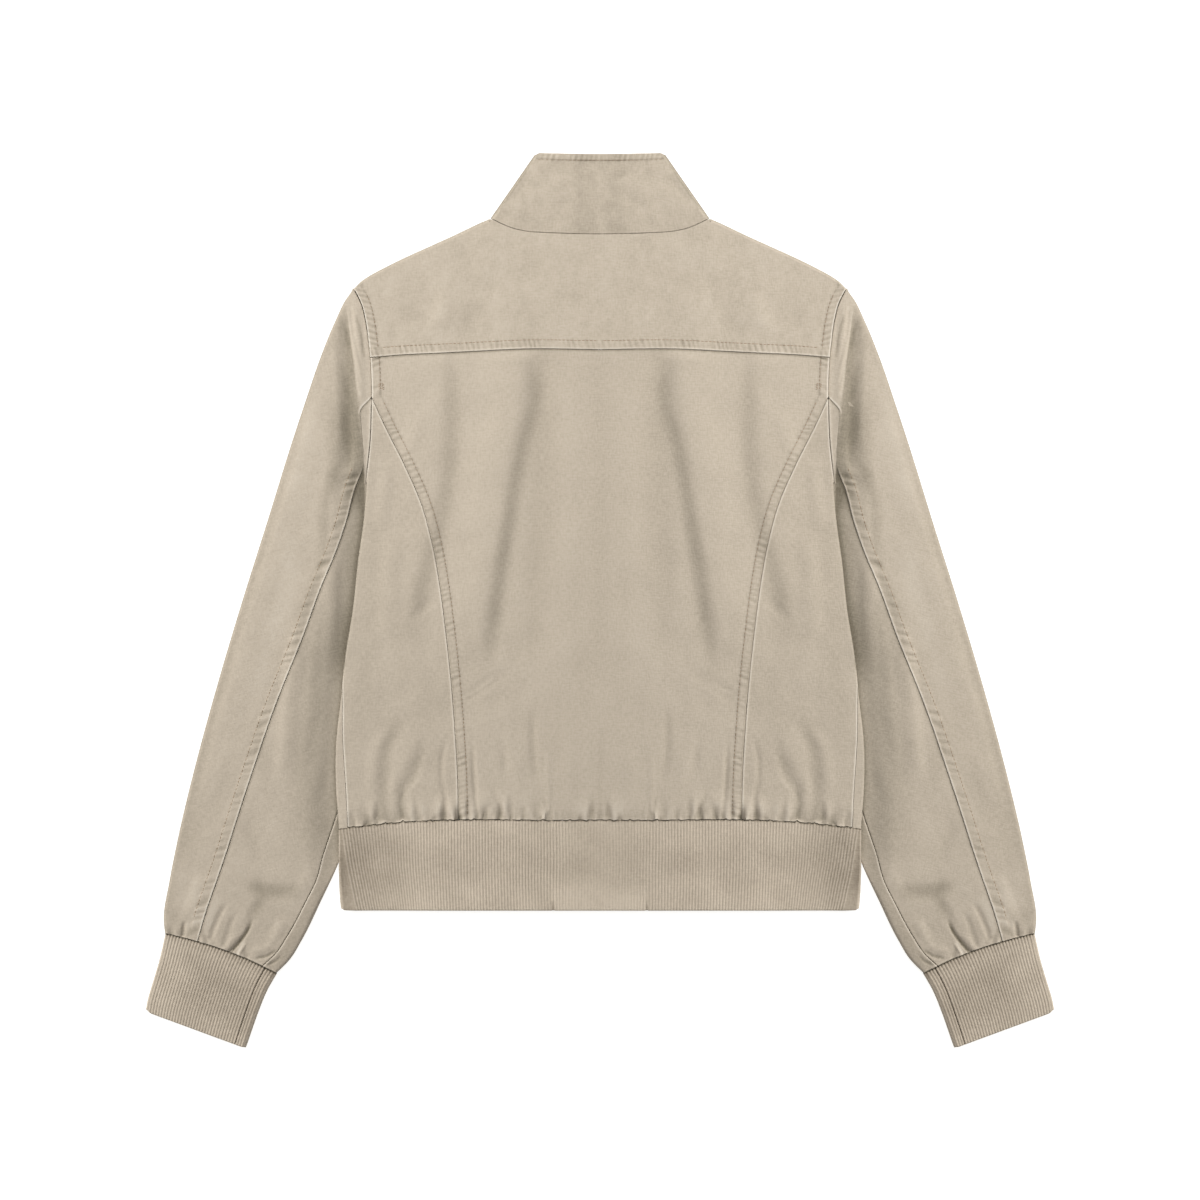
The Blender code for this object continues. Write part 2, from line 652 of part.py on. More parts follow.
def sleeve_row(y_outer):
    """Section of the sleeve from a place on its outer fold, turning to the cuff's tilt."""
    way = min(max((60 - y_outer) / (60 - CUFF_SEAM_Y), 0.0), 1.0)
    y_inner = y_outer - CUFF_SEAM_TILT * way ** 1.4
    outer = np.array((sleeve_outer(y_outer), y_outer))
    above = y_outer > UNDERARM_Y + 0.2
    top_end = np.array((back_armhole(y_outer) + seam_gap(back_armhole, y_outer), y_outer))
    low_end = np.array((front_armhole(y_outer) + seam_gap(front_armhole, y_outer), y_outer))
    if not above:
        top_end = low_end = np.array((sleeve_inner(y_inner), y_inner))
    length = math.hypot(*(top_end - outer))
    inward = (top_end - outer) / length
    rise_share = smooth((CUFF_SEAM_Y + 55 - y_outer) / 55)
    seam_lift = HALF_SEAM * smooth((CUFF_SEAM_Y + 3 - y_outer) / 3)

    def place(distance, end):
        """A place at a distance from the outer fold, on the way to an inner end."""
        span = math.hypot(*(end - outer))
        spot = outer + (end - outer) / span * distance
        rise = cuff_seam_rise(distance / span) * rise_share + seam_lift
        return float(spot[0]), float(spot[1] + rise)

    high = sleeve_top(outer[0] - 2, y_outer)
    fold = min(high / 2, 0.35 * length)
    inner_high = sleeve_top(top_end[0], top_end[1])
    inner_fold = 0.0 if above else inner_high / 2
    row = {"length": length, "fold": fold, "above": above}
    top_span = length - fold - inner_fold
    low_length = math.hypot(*(low_end - outer))
    low_span = low_length - fold - inner_fold

    def point(key):
        if key > 4:
            key -= 4
        if key <= 1:
            x, y = place(fold + (1 - key) * top_span, top_end)
            z = sleeve_top(x, y)
            return [(x, y, z), (x, y, z - CLOTH)]
        if key < 2:
            edge = place(0, top_end)
            return fold_point(edge, -inward, fold, 0, high, key - 1, CLOTH)
        if key <= 3:
            x, y = place(fold + (key - 2) * low_span, low_end)
            return [(x, y, 0.0), (x, y, CLOTH)]
        edge = place(length, top_end)
        return fold_point(edge, inward, inner_fold, 0, inner_high, 4 - key, CLOTH)

    def key_at(line, side):
        """Key where a seam crosses the top layer, a half gap to one side of it."""
        distance = length / 2
        for _ in range(12):
            _, y = place(distance, top_end)
            x = line(y) + side * seam_gap(line, y)
            distance = (x - outer[0]) / inward[0]
        return 1 - (distance - fold) / top_span

    row["point"] = point
    row["key_at"] = key_at
    row["y_at"] = lambda distance: place(distance, top_end)[1]
    row["top_span"] = top_span
    row["inner_fold"] = inner_fold
    row["edge_key"] = 1 - (outer[0] - 2.2 - shelter(y_outer) - fold) / top_span
    return row


def sleeve_heights():
    """Places of the sleeve's rows along its outer fold."""
    cap = [256.4, 252] + CAP_ROWS
    upper = ARMHOLE_ROWS + [UNDERARM_Y + 0.6]
    lower = [UNDERARM_Y + 0.1, UNDERARM_Y - 3, UNDERARM_Y - 9] + list(steps(80, -214, 20))
    cuff_end = list(steps(-229, CUFF_SEAM_Y, 12))
    return cap, upper, lower + cuff_end


def inner_seam_key(row, side):
    """Key of the inner seam on the top layer, a half gap to one side of it."""
    way = inner_seam(row["y_at"](row["length"]))
    return max(way - row["inner_fold"] + side * HALF_SEAM, 0.0) / row["top_span"]


def make_sleeve_top(name, mirrored):
    """The outer sleeve panel: top layer, outer fold, whole underside and inner fold."""
    wall = Wall()
    cap, upper, lower = sleeve_heights()
    grid = ring_grid(0.142)
    for y in cap:
        row = sleeve_row(y)
        wall.row(keys_between(0, 3, grid, 0.03), row["point"])
    for y in upper:
        row = sleeve_row(y)
        first = row["key_at"](elbow_seam, 1) if y < CORNER_Y - 1 else 0
        wall.row(keys_between(first, 3, grid, 0.03), row["point"])
    for number, y in enumerate(lower):
        row = sleeve_row(y)
        first = row["key_at"](elbow_seam, 1)
        last = 4 + inner_seam_key(row, -1)
        turn = [3, 3.5, 4]
        more = [4 + row["edge_key"]] if row["edge_key"] > 0.02 else []
        more += CUFF_UNDER_KEYS if number == len(lower) - 1 else []
        keys = keys_between(first, last, sorted(set(grid + turn + more)), 0.006)
        wall.row(keys, row["point"], high=3 if number == 0 else 9)
    wall.solid(name, TWILL, mirrored)


def make_sleeve_under(name, mirrored):
    """The narrow inner sleeve panel on the top layer, between the elbow and the inner seam."""
    wall = Wall()
    _, upper, lower = sleeve_heights()
    for y in upper[1:] + lower:
        row = sleeve_row(y)
        first = 0.0 if row["above"] else inner_seam_key(row, 1)
        last = row["key_at"](elbow_seam, -1)
        grid = list(steps(0, 1, 0.125)) + [row["edge_key"]]
        wall.row(keys_between(first, last, sorted(grid), 0.02), row["point"])
    wall.solid(name, TWILL, mirrored)


def ribbed_band(name, stations, point, levels, inner_keys, mirrored=False):
    """A band of rib knit: ribs raised on the outer side over a plain inner side.

    ``stations`` are keys along the band with the rib's raise at each, ``levels`` go from its
    seam (0) to its free edge (1).
    """
    points, faces = [], []
    outer_rows, inner_rows = [], []
    keys = [key for key, _ in stations]
    plain = sorted({keys[0], keys[-1]} | {round(float(key), 6) for key in inner_keys})
    for level in levels:
        row = []
        for key, raised in stations:
            row.append((key, len(points)))
            points.append(point(key, level, raised)[0])
        outer_rows.append(row)
        row = []
        for key in plain:
            row.append((key, len(points)))
            points.append(point(key, level, 0.0)[1])
        inner_rows.append(row)
    for above, below in zip(outer_rows[:-1], outer_rows[1:]):
        faces += strip(above, below)
    for above, below in zip(inner_rows[:-1], inner_rows[1:]):
        faces += [face[::-1] for face in strip(above, below)]
    faces += [face[::-1] for face in strip(outer_rows[0], inner_rows[0])]
    faces += strip(outer_rows[-1], inner_rows[-1])
    for end in (0, -1):
        for n in range(len(levels) - 1):
            quad = (outer_rows[n][end][1], outer_rows[n + 1][end][1],
                    inner_rows[n + 1][end][1], inner_rows[n][end][1])
            faces.append(quad if end == 0 else quad[::-1])
    make_object(name, points, faces, RIB_KNIT, mirrored)


def rib_stations(first, last, count):
    """Keys of valleys and crests from first to last, with how far each is raised."""
    keys = np.linspace(first, last, 2 * count + 1)
    return [(float(key), RIB_RAISE if n % 2 else 0.0) for n, key in enumerate(keys)]


def make_hem_rib():
    """The ribbed hem band, from one front tab round both sides and the back to the other tab."""
    def band_y(x, level):
        top = hem_seam(abs(x)) - HALF_SEAM
        corner = 3.3 * smooth((abs(x) - 208) / 8)
        return top + (HEM_Y + corner - top) * level

    def point(key, level, raised):
        side = 1 if key >= 0 else -1
        key = abs(key)
        half = side_edge(band_y(216, level))
        y_edge = band_y(half, level)
        low = body_lift(half, y_edge)
        high = RIB_TOP - RIB_RAISE + 0.7 * low / BODY_LIFT
        fold = (high - low) / 2
        flat = half - fold
        if key <= 1:
            slant = HEM_RIB_SLANT * level * smooth((flat * key - 125) / 90) / flat
            x = flat * (key - slant * (key < 1))
            y = band_y(x, level)
            z = RIB_TOP - RIB_RAISE + 0.7 * body_lift(x, y) / BODY_LIFT
            pair = [(x, y, z + raised), (x, y, z - RIB_WALL)]
        elif key < 2:
            pair = fold_point((half, y_edge), (1, 0), fold, low, high, key - 1, RIB_WALL)
            pair[0] = fold_point((half + raised, y_edge), (1, 0), fold + raised,
                                 low, high + raised, key - 1, RIB_WALL)[0]
        else:
            over_sleeve = min(flat - 1, sleeve_inner(y_edge) - 1.5)
            off_sleeve = min(flat - 4, sleeve_inner(y_edge) - 13.5)
            x = np.interp(key, [2, 2.1, 2.2, 3], [flat, over_sleeve, off_sleeve, HEM_TAB_WIDTH])
            y = band_y(x, level)
            z = body_lift(x, y)
            pair = [(x, y, z), (x, y, z + RIB_WALL)]
        return [(side * p[0], p[1], p[2]) for p in pair]

    ribs = rib_stations(-1, 1, HEM_RIBS)
    around = [1.25, 1.5, 1.75, 2, 2.1, 2.2, 2.31, 2.42, 2.54, 2.68, 2.84, 3]
    right = [(key, RIB_RAISE if key == 1.25 else 0.0) for key in around]
    stations = [(-key, raised) for key, raised in reversed(right)] + ribs + right
    plain = list(steps(-1, 1, 0.1)) + around + [-key for key in around]
    ribbed_band("hem_rib", stations, point, HEM_LEVELS, plain)


def make_cuff(name, mirrored):
    """The ribbed cuff: a flattened tube, closed by a seam near its inner fold."""

    def line(level):
        """Outer and inner end of the cuff's section at a level from its seam to its edge."""
        y_outer = CUFF_SEAM_Y + (CUFF_OUTER[-1][0] - CUFF_SEAM_Y) * level
        y_inner = CUFF_INNER[0][0] + (CUFF_INNER[-1][0] - CUFF_INNER[0][0]) * level
        return np.array((cuff_outer(y_outer), y_outer)), np.array((cuff_inner(y_inner), y_inner))

    def point(key, level, raised):
        outer, inner = line(level)
        length = math.hypot(*(inner - outer))
        inward = (inner - outer) / length
        high = CUFF_TOP - RIB_RAISE
        fold = high / 2
        flat = length - 2 * fold

        def place(distance):
            spot = outer + inward * distance
            rise = cuff_seam_rise(distance / length) * (1 - level) - HALF_SEAM * (1 - level)
            corner = smooth(1 - distance / 5) + smooth(1 - (length - distance) / 5)
            return float(spot[0]), float(spot[1] + rise + 2.0 * corner * (level > 0.99))

        if key <= 1:
            x, y = place(fold + (1 - key) * flat)
            return [(x, y, high + raised), (x, y, high - RIB_WALL)]
        if key < 2:
            return fold_point(place(0), -inward, fold, 0, high, key - 1, RIB_WALL)
        if key <= 3:
            x, y = place(fold + (key - 2) * flat)
            return [(x, y, 0.0), (x, y, RIB_WALL)]
        if key < 4:
            return fold_point(place(length), inward, fold, 0, high, 4 - key, RIB_WALL)
        x, y = place(fold + (5 - key) * flat)
        return [(x, y, high + raised), (x, y, high - RIB_WALL)]

    seam = CUFF_SEAM_INSET / 98
    split = 0.0024
    ribs = rib_stations(seam + split, 1, CUFF_RIBS - 3)
    around = [(key, 0.0) for key in [1.3, 1.7, 2.0] + CUFF_UNDER_KEYS + [3.0, 3.3, 3.7, 4.0]]
    inner = [(4 + key, raised) for key, raised in rib_stations(0, seam - split, 3)[1:]]
    plain = list(steps(seam + split, 1, 0.12)) + [key for key, _ in around] + [4 + seam - split]
    ribbed_band(name, ribs + around + inner, point, [0, 0.5, 1], plain, mirrored)


def make_hem_tab(name, mirrored):
    """The plain end of the hem band, between the ribs and the centre front."""
    wall = Wall()
    for level in (0, 0.5, 1):
        def point(key):
            x = HALF_SEAM + (HEM_TAB_WIDTH - 2 * HALF_SEAM - 0.1) * key
            top = hem_seam(x) - HALF_SEAM
            y = top + (HEM_Y - top) * level
            return [(x, y, 0.0), (x, y, RIB_WALL)]

        wall.row([0, 0.5, 1], point)
    wall.solid(name, TWILL, mirrored)


def clear_scene():
    """Remove what the scene holds, so that only the jacket is in it."""
    for item in list(bpy.data.objects):
        bpy.data.objects.remove(item, do_unlink=True)


def main():
    """Make every piece of the jacket."""
    clear_scene()
    make_collar()
    make_back_yoke()
    make_back_centre()
    make_hem_rib()
    for side, mirrored in (("right", False), ("left", True)):
        make_back_side("back_side_" + side, mirrored)
        make_front("front_" + side, mirrored)
        make_sleeve_top("sleeve_top_" + side, mirrored)
        make_sleeve_under("sleeve_under_" + side, mirrored)
        make_cuff("cuff_" + side, mirrored)
        make_hem_tab("hem_tab_" + side, mirrored)


main()
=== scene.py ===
# %% [markdown]
# # A short cotton jacket, laid flat with its back up
#
# The jacket has a stand collar, a yoke across the shoulders, a wide middle back panel between two
# curved seams, two-piece sleeves, and a ribbed band at the hem and at each wrist. It has been
# washed after sewing, so the cloth is soft, its seams are puckered and their edges are worn pale.
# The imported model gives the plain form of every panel. This lesson lays a finer panel in the place
# of each one: thin walls of cloth with folds, gathers, seam grooves, stitches and ribs.

# %% Load the frame
import json

import bpy
import mathutils
import numpy as np
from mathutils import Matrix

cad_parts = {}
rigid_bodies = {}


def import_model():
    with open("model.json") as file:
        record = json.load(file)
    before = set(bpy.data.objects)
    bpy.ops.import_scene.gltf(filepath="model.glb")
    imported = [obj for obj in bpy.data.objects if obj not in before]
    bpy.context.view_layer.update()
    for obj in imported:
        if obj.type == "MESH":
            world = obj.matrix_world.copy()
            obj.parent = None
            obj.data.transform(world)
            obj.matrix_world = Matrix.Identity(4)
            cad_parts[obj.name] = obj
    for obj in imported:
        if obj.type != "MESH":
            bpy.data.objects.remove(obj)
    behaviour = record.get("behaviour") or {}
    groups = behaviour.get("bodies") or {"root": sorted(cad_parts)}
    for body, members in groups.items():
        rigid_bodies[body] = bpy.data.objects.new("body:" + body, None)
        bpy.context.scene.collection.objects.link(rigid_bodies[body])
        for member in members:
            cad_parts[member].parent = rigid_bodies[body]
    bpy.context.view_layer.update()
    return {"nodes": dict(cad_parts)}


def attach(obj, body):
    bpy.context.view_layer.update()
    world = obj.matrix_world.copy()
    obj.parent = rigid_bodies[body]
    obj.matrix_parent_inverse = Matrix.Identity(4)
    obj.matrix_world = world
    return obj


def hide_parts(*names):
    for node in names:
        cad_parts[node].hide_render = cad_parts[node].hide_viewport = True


for item in list(bpy.data.objects):
    bpy.data.objects.remove(item, do_unlink=True)
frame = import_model()
MM = 0.001
print("solids to dress:", len(frame["nodes"]))

# %% [markdown]
# ## Sizes
#
# All panels are drawn in millimetres from the same named sizes as the solids. The right half is
# drawn and the left half is its mirror image. The way to keep two drawings of one garment in step
# is to share its seam lines, so the tables below are the seams and outlines, and nothing else.

# %% Named sizes
CLOTH = 1.2
COLLAR_WALL = 2.4
RIB_WALL = 1.4
HALF_SEAM = 0.1
BODY_TOP = 6.0
SLEEVE_TOP = 6.2
SLEEVE_EDGE = 4.8
SHELTERED_TOP = 2.7
BODY_LIFT = 3.0
RIB_TOP = 6.2
CUFF_TOP = 4.6
UNDERARM_Y = 98.0
CORNER_Y = 168.5
HEM_Y = -258.7
NECK_CORNER = (91.3, 317.9)
COLLAR_CORNER = (53.7, 372.1)
COLLAR_MIDDLE_Y = 371.3
FRONT_NECK_Y = 208.0
FRONT_COLLAR_Y = 305.6
CUFF_SEAM_Y = -277.7
CUFF_SEAM_TILT = 33.3
CUFF_SEAM_X = 362.5
CUFF_SEAM_RUN = 92.9
HEM_RIBS = 168
CUFF_RIBS = 35
HEM_TAB_WIDTH = 39.0
YOKE_TO_HEM = 391.4
UNDERARM_TO_HEM = 285.0
HEM_HEIGHT = 75.4
CUFF_HEIGHT = 66.0
CUFF_WIDTH = 98.0
COLLAR_HEIGHT = 66.5
CUFF_SEAM_INSET = 8.0
SHOULDER_END = 204.9
# Distance of the stitches from a seam or an edge
BODY_BAND = 7.4
ELBOW_BAND = 8.6
COLLAR_BAND = 5.5
SIDES = (("right", False), ("left", True))

# %% Outline and seams
# Rows of (y, x) for lines that run along the body, rows of (x, y) for lines that run across it.
LINES = {
    "side edge": [(98, 194.6), (68, 196.8), (33, 201.6), (-10, 206.3), (-44, 211.8), (-84, 216.1),
        (-120, 219.9), (-155, 220.0), (-190, 217.6), (-222, 217.4), (-251, 216.4), (-259, 215.5)],
    "back armhole": [(259.4, 205.3), (257.9, 204.6), (248, 199.6), (233, 195.4), (216, 192.9),
        (202, 191.3), (187, 190.4), (168.5, 190.1), (154, 190.4), (133, 191.3), (112, 193.4),
        (98, 195.0)],
    "front armhole": [(259.4, 204.6), (257.9, 203.6), (240, 190), (200, 174), (150, 172),
        (115, 176), (98, 181)],
    "princess": [(168.5, 189.8), (143, 178), (112, 162.4), (79, 148.1), (47, 139.5), (12, 133.2),
        (-31, 127.7), (-67, 123.9), (-99, 121.3), (-163, 118), (-190, 118)],
    "sleeve outer": [(259.4, 205.9), (257.9, 206.6), (250, 212.1), (233, 220.4), (200, 233.8),
        (166, 245.4), (133, 256.3), (66, 277.1), (0, 297.9), (-67, 317.9), (-134, 336.3),
        (-200, 352.1), (-234, 358.8), (-267, 363.6), (-278, 362.5)],
    "sleeve inner": [(98, 192), (88, 188.6), (72, 185.6), (50, 183.9), (0, 183.1), (-50, 185.4),
        (-100, 189.6), (-142, 195.4), (-172, 202.9), (-196, 209.6), (-219, 217.9), (-250, 232.1),
        (-284, 248.8), (-300, 258.8), (-311, 269.6)],
    "elbow": [(168.5, 190.2), (158, 199.2), (149, 198.9), (132, 197.6), (114, 196.6), (91, 204.6),
        (66, 210.9), (42, 218.9), (8, 232.9), (-34, 248.2), (-82, 267.7), (-153, 292.3),
        (-227, 316.3), (-259, 327.4), (-290, 336.6)],
    "cuff outer": [(-277.7, 362.1), (-300, 367.1), (-317, 372.1), (-334, 377.1), (-343, 378.6)],
    "cuff inner": [(-311, 269.6), (-325, 277.6), (-342, 284.6), (-361, 291.3), (-373.6, 295.6)],
    "neck": [(0, 304.6), (25, 305), (45, 305.8), (62, 307.1), (73, 309.6), (83, 313.8),
        (91.3, 317.9)],
    "shoulder": [(91.3, 317.9), (99, 314.6), (120, 304.6), (142, 294.6), (164, 284.6), (184, 274.6),
        (193, 269.6), (200, 264.6), (205, 259.4)],
    "yoke": [(0, 208.3), (66, 208.8), (100, 207.1), (133, 205.4), (166, 203.8), (191.5, 201.7)],
    "hem": [(0, -183.3), (41, -183.6), (100, -183.0), (150, -184.2), (183, -186.8), (206, -189.2),
        (221, -190.8)],
    "front neck": [(0, 208), (30, 242), (60, 279.5), (91.3, 317.9)],
    # The cuff seam's rise above a straight line, by share of its way from outer to inner fold
    "cuff rise": [(0, 0), (0.3, 3.0), (0.55, 3.8), (0.8, 2.6), (1, 0)],
    # Way along the cloth from the side fold to the side seam, and from the inner fold to its seam
    "side seam": [(98, 14.5), (33, 9.0), (-34, 4.0), (-70, -0.5), (-100, -4.5), (-134, -7.9),
        (-155, -9.0), (-175, -8.8), (-191, -8.4)],
    "inner seam": [(98, 3.2), (40, 6), (-60, 9), (-130, 12.5), (-177, 14.2), (-199, 15),
        (-216, 14.4), (-236, 11.2), (-256, 11.5), (-277, 12), (-311, 12.4)],
}
LINES["neckline"] = [(y, x) for x, y in LINES["front neck"]]
LINES["shelter"] = [row for row in LINES["side edge"] if row[0] > -200] + [
    (-215, 217.4), (-245, 211), (-270, 222), (-311, 250)]


def curve(rows):
    """A line through rows of (place, value).

    Between two rows it is the cubic whose ends have the rows' values and their mean slopes.
    """
    place, value = np.array(sorted(rows), dtype=float).T
    slope = np.gradient(value, place)

    def read(at):
        """Value of the line at a place; beyond its ends it keeps the end's value."""
        at = np.clip(at, place[0], place[-1])
        i = np.clip(np.searchsorted(place, at) - 1, 0, len(place) - 2)
        span = place[i + 1] - place[i]
        t = (at - place[i]) / span
        ends = value[i] * (1 - t) ** 2 * (1 + 2 * t) + value[i + 1] * t * t * (3 - 2 * t)
        return ends + span * (slope[i] * t * (1 - t) ** 2 - slope[i + 1] * t * t * (1 - t))

    return read


line = {name: curve(rows) for name, rows in LINES.items()}
print("half width of the back at the underarm:", round(float(line["side edge"](98)), 1), "mm")


# %% Small curves
def smooth(t):
    """An even step from 0 to 1 while t goes from 0 to 1: three t squared less two t cubed."""
    t = np.clip(t, 0.0, 1.0)
    return t * t * (3 - 2 * t)


def bell(t):
    """A rounded hump, 1 in the middle and 0 from t = 1 outwards: half of one plus a cosine."""
    return 0.5 + 0.5 * np.cos(np.pi * np.minimum(np.abs(t), 1.0))


def slant(name, at):
    """How many times longer a slanting line is than its own way along the rows."""
    return np.hypot(1, (line[name](at + 1.0) - line[name](at - 1.0)) / 2)


def seam_edge(name, at, side):
    """Place of a panel's edge, half a seam to one side (-1 or 1) of a slanting seam line."""
    return line[name](at) + side * HALF_SEAM * slant(name, at)


def run_length(x, y):
    """Way along a row of places from the first one to each."""
    return np.r_[0, np.cumsum(np.hypot(np.diff(x), np.diff(y)))]


def spread(first, last, near_first, near_last, count):
    """Places from first to last for each row.

    They lie at set distances from either end and evenly in between. Where a row is too short for
    that, the set distances shrink with it.
    """
    first, last = (np.atleast_1d(np.asarray(v, float))[:, None] for v in (first, last))
    near_first, near_last = np.atleast_2d(near_first), np.atleast_2d(near_last)
    reach = np.abs(near_first[:, -1:]) + np.abs(near_last[:, -1:])
    fit = np.minimum(1.0, np.abs(last - first) / (1.2 * reach + 1e-9))
    start = first + near_first * fit
    end = last - near_last[:, ::-1] * fit
    middle = start[:, -1:] + (end[:, :1] - start[:, -1:]) * np.linspace(0, 1, count + 2)[1:-1]
    return np.concatenate([start + 0 * last, middle, end + 0 * first], axis=1)


# A distance at which a seam has no effect
FAR = 99.0
# Places of rows and columns beside a plain edge, the cuff seam and a stitched edge
EDGE = np.array([0, 0.25, 0.55, 0.9, 1.4, 2.2, 3.4])
WRIST_EDGE = np.r_[EDGE, np.arange(4.6, 52, 1.3)]
STITCHED_EDGE = np.array([0, 0.25, 0.55, 0.9, 1.4, 2.1, 3, 4, 5, 6, 6.8, 7.4, 8, 8.8, 10])
print("a stitched edge has", len(STITCHED_EDGE), "columns in its first", STITCHED_EDGE[-1], "mm")

# %% [markdown]
# ## Folds
#
# A fold in washed cotton is a soft ridge or trough with one flank steeper than the other, that
# fades out at both ends. It could be simulated, but then it would fall where the solver likes. Here
# each fold is placed one by one: a line, the widths of its inner and outer flank, a height, and the
# lengths over which its ends fade. The lines run down the jacket, so the outer flank is on the
# side away from the middle of the body.

# %% The folds' tables
# (path, inner flank, outer flank, height, fade in, fade out)
BODY_FOLDS = [
    ([(68, 212), (69, 166), (76, 133), (83, 83), (92, 33), (101, -17), (110, -60)], 19, 44, 2.7, 14,
     50),
    ([(134, 212), (135, 150), (137, 100), (148, 50), (160, 0), (168, -45)], 17, 46, 1.5, 16, 50),
    ([(46, 212), (46, 120), (50, 20), (54, -60)], 34, 20, -0.9, 18, 60),
    ([(0, 212), (0, 60), (0, -90)], 14, 14, -0.6, 20, 40),
    ([(134.6, 6), (148, -7), (163, -23)], 7, 6, -0.45, 14, 18),
    ([(72, -57), (92, -68), (118, -86)], 9, 7, -0.45, 22, 16),
    ([(84, -62), (100, -74), (116, -84)], 2.4, 2.0, 0.3, 8, 8),
    ([(101, 252), (105, 236), (112, 216)], 16, 14, -0.55, 22, 20),
    ([(149, 252), (153, 236), (158, 216)], 16, 15, -0.5, 24, 18),
    ([(87, 276), (93, 262), (97, 252)], 10, 10, -0.3, 12, 12),
    ([(128, 262), (131, 240), (133, 222)], 16, 12, 0.7, 16, 12),
    ([(172, 60), (176, 10), (180, -50)], 14, 12, 0.6, 30, 40),
    ([(164, -90), (167, -105), (178, -129), (179, -148), (180, -163), (181, -184)], 9, 9, -0.8, 34,
     1),
    ([(176, -100), (187, -125), (190, -150), (191, -168)], 9, 8, 0.5, 24, 18),
    ([(144, -108), (150, -131), (156, -147), (163.5, -158), (164.6, -167), (163.3, -184)], 7, 7,
     -0.75, 34, 1),
    ([(161, -157), (164.4, -163), (164.2, -184)], 1.8, 2.2, -0.8, 6, 1),
    ([(154, -112), (163, -136), (171, -152), (174, -168)], 8, 7, 0.45, 20, 14),
    ([(127, -112), (132, -138), (131.5, -150), (128.5, -166), (128, -176)], 2.6, 3.6, -0.85, 22,
     10),
    ([(106, -112), (105, -142), (103.3, -166), (102, -184)], 2.6, 3.4, -1.1, 26, 1),
    ([(83, -104), (79, -132), (78, -152)], 6, 6, -0.6, 24, 18),
    ([(91, -156), (83.5, -171), (78, -184)], 3.4, 3.4, -0.8, 12, 1),
    ([(55, -84), (55.5, -116), (54, -138), (50, -158)], 5, 6, -0.85, 28, 16),
    ([(45.4, -163), (43.7, -184)], 2.0, 2.4, -1.3, 7, 1),
    ([(43, -120), (43.5, -150), (41.5, -180)], 5, 4, 0.55, 20, 6),
    ([(66, -120), (67, -145), (66, -165)], 8, 8, 0.4, 18, 14),
    ([(0, -105), (0, -142), (0, -184)], 4, 4, -0.8, 30, 1),
    ([(24, -120), (25, -145), (24, -170)], 9, 9, 0.5, 14, 10),
    ([(148, 160), (154, 140), (160, 118)], 10, 12, 0.6, 12, 12),
    ([(175, 120), (180, 90), (182, 50)], 9, 9, 0.5, 14, 20),
]
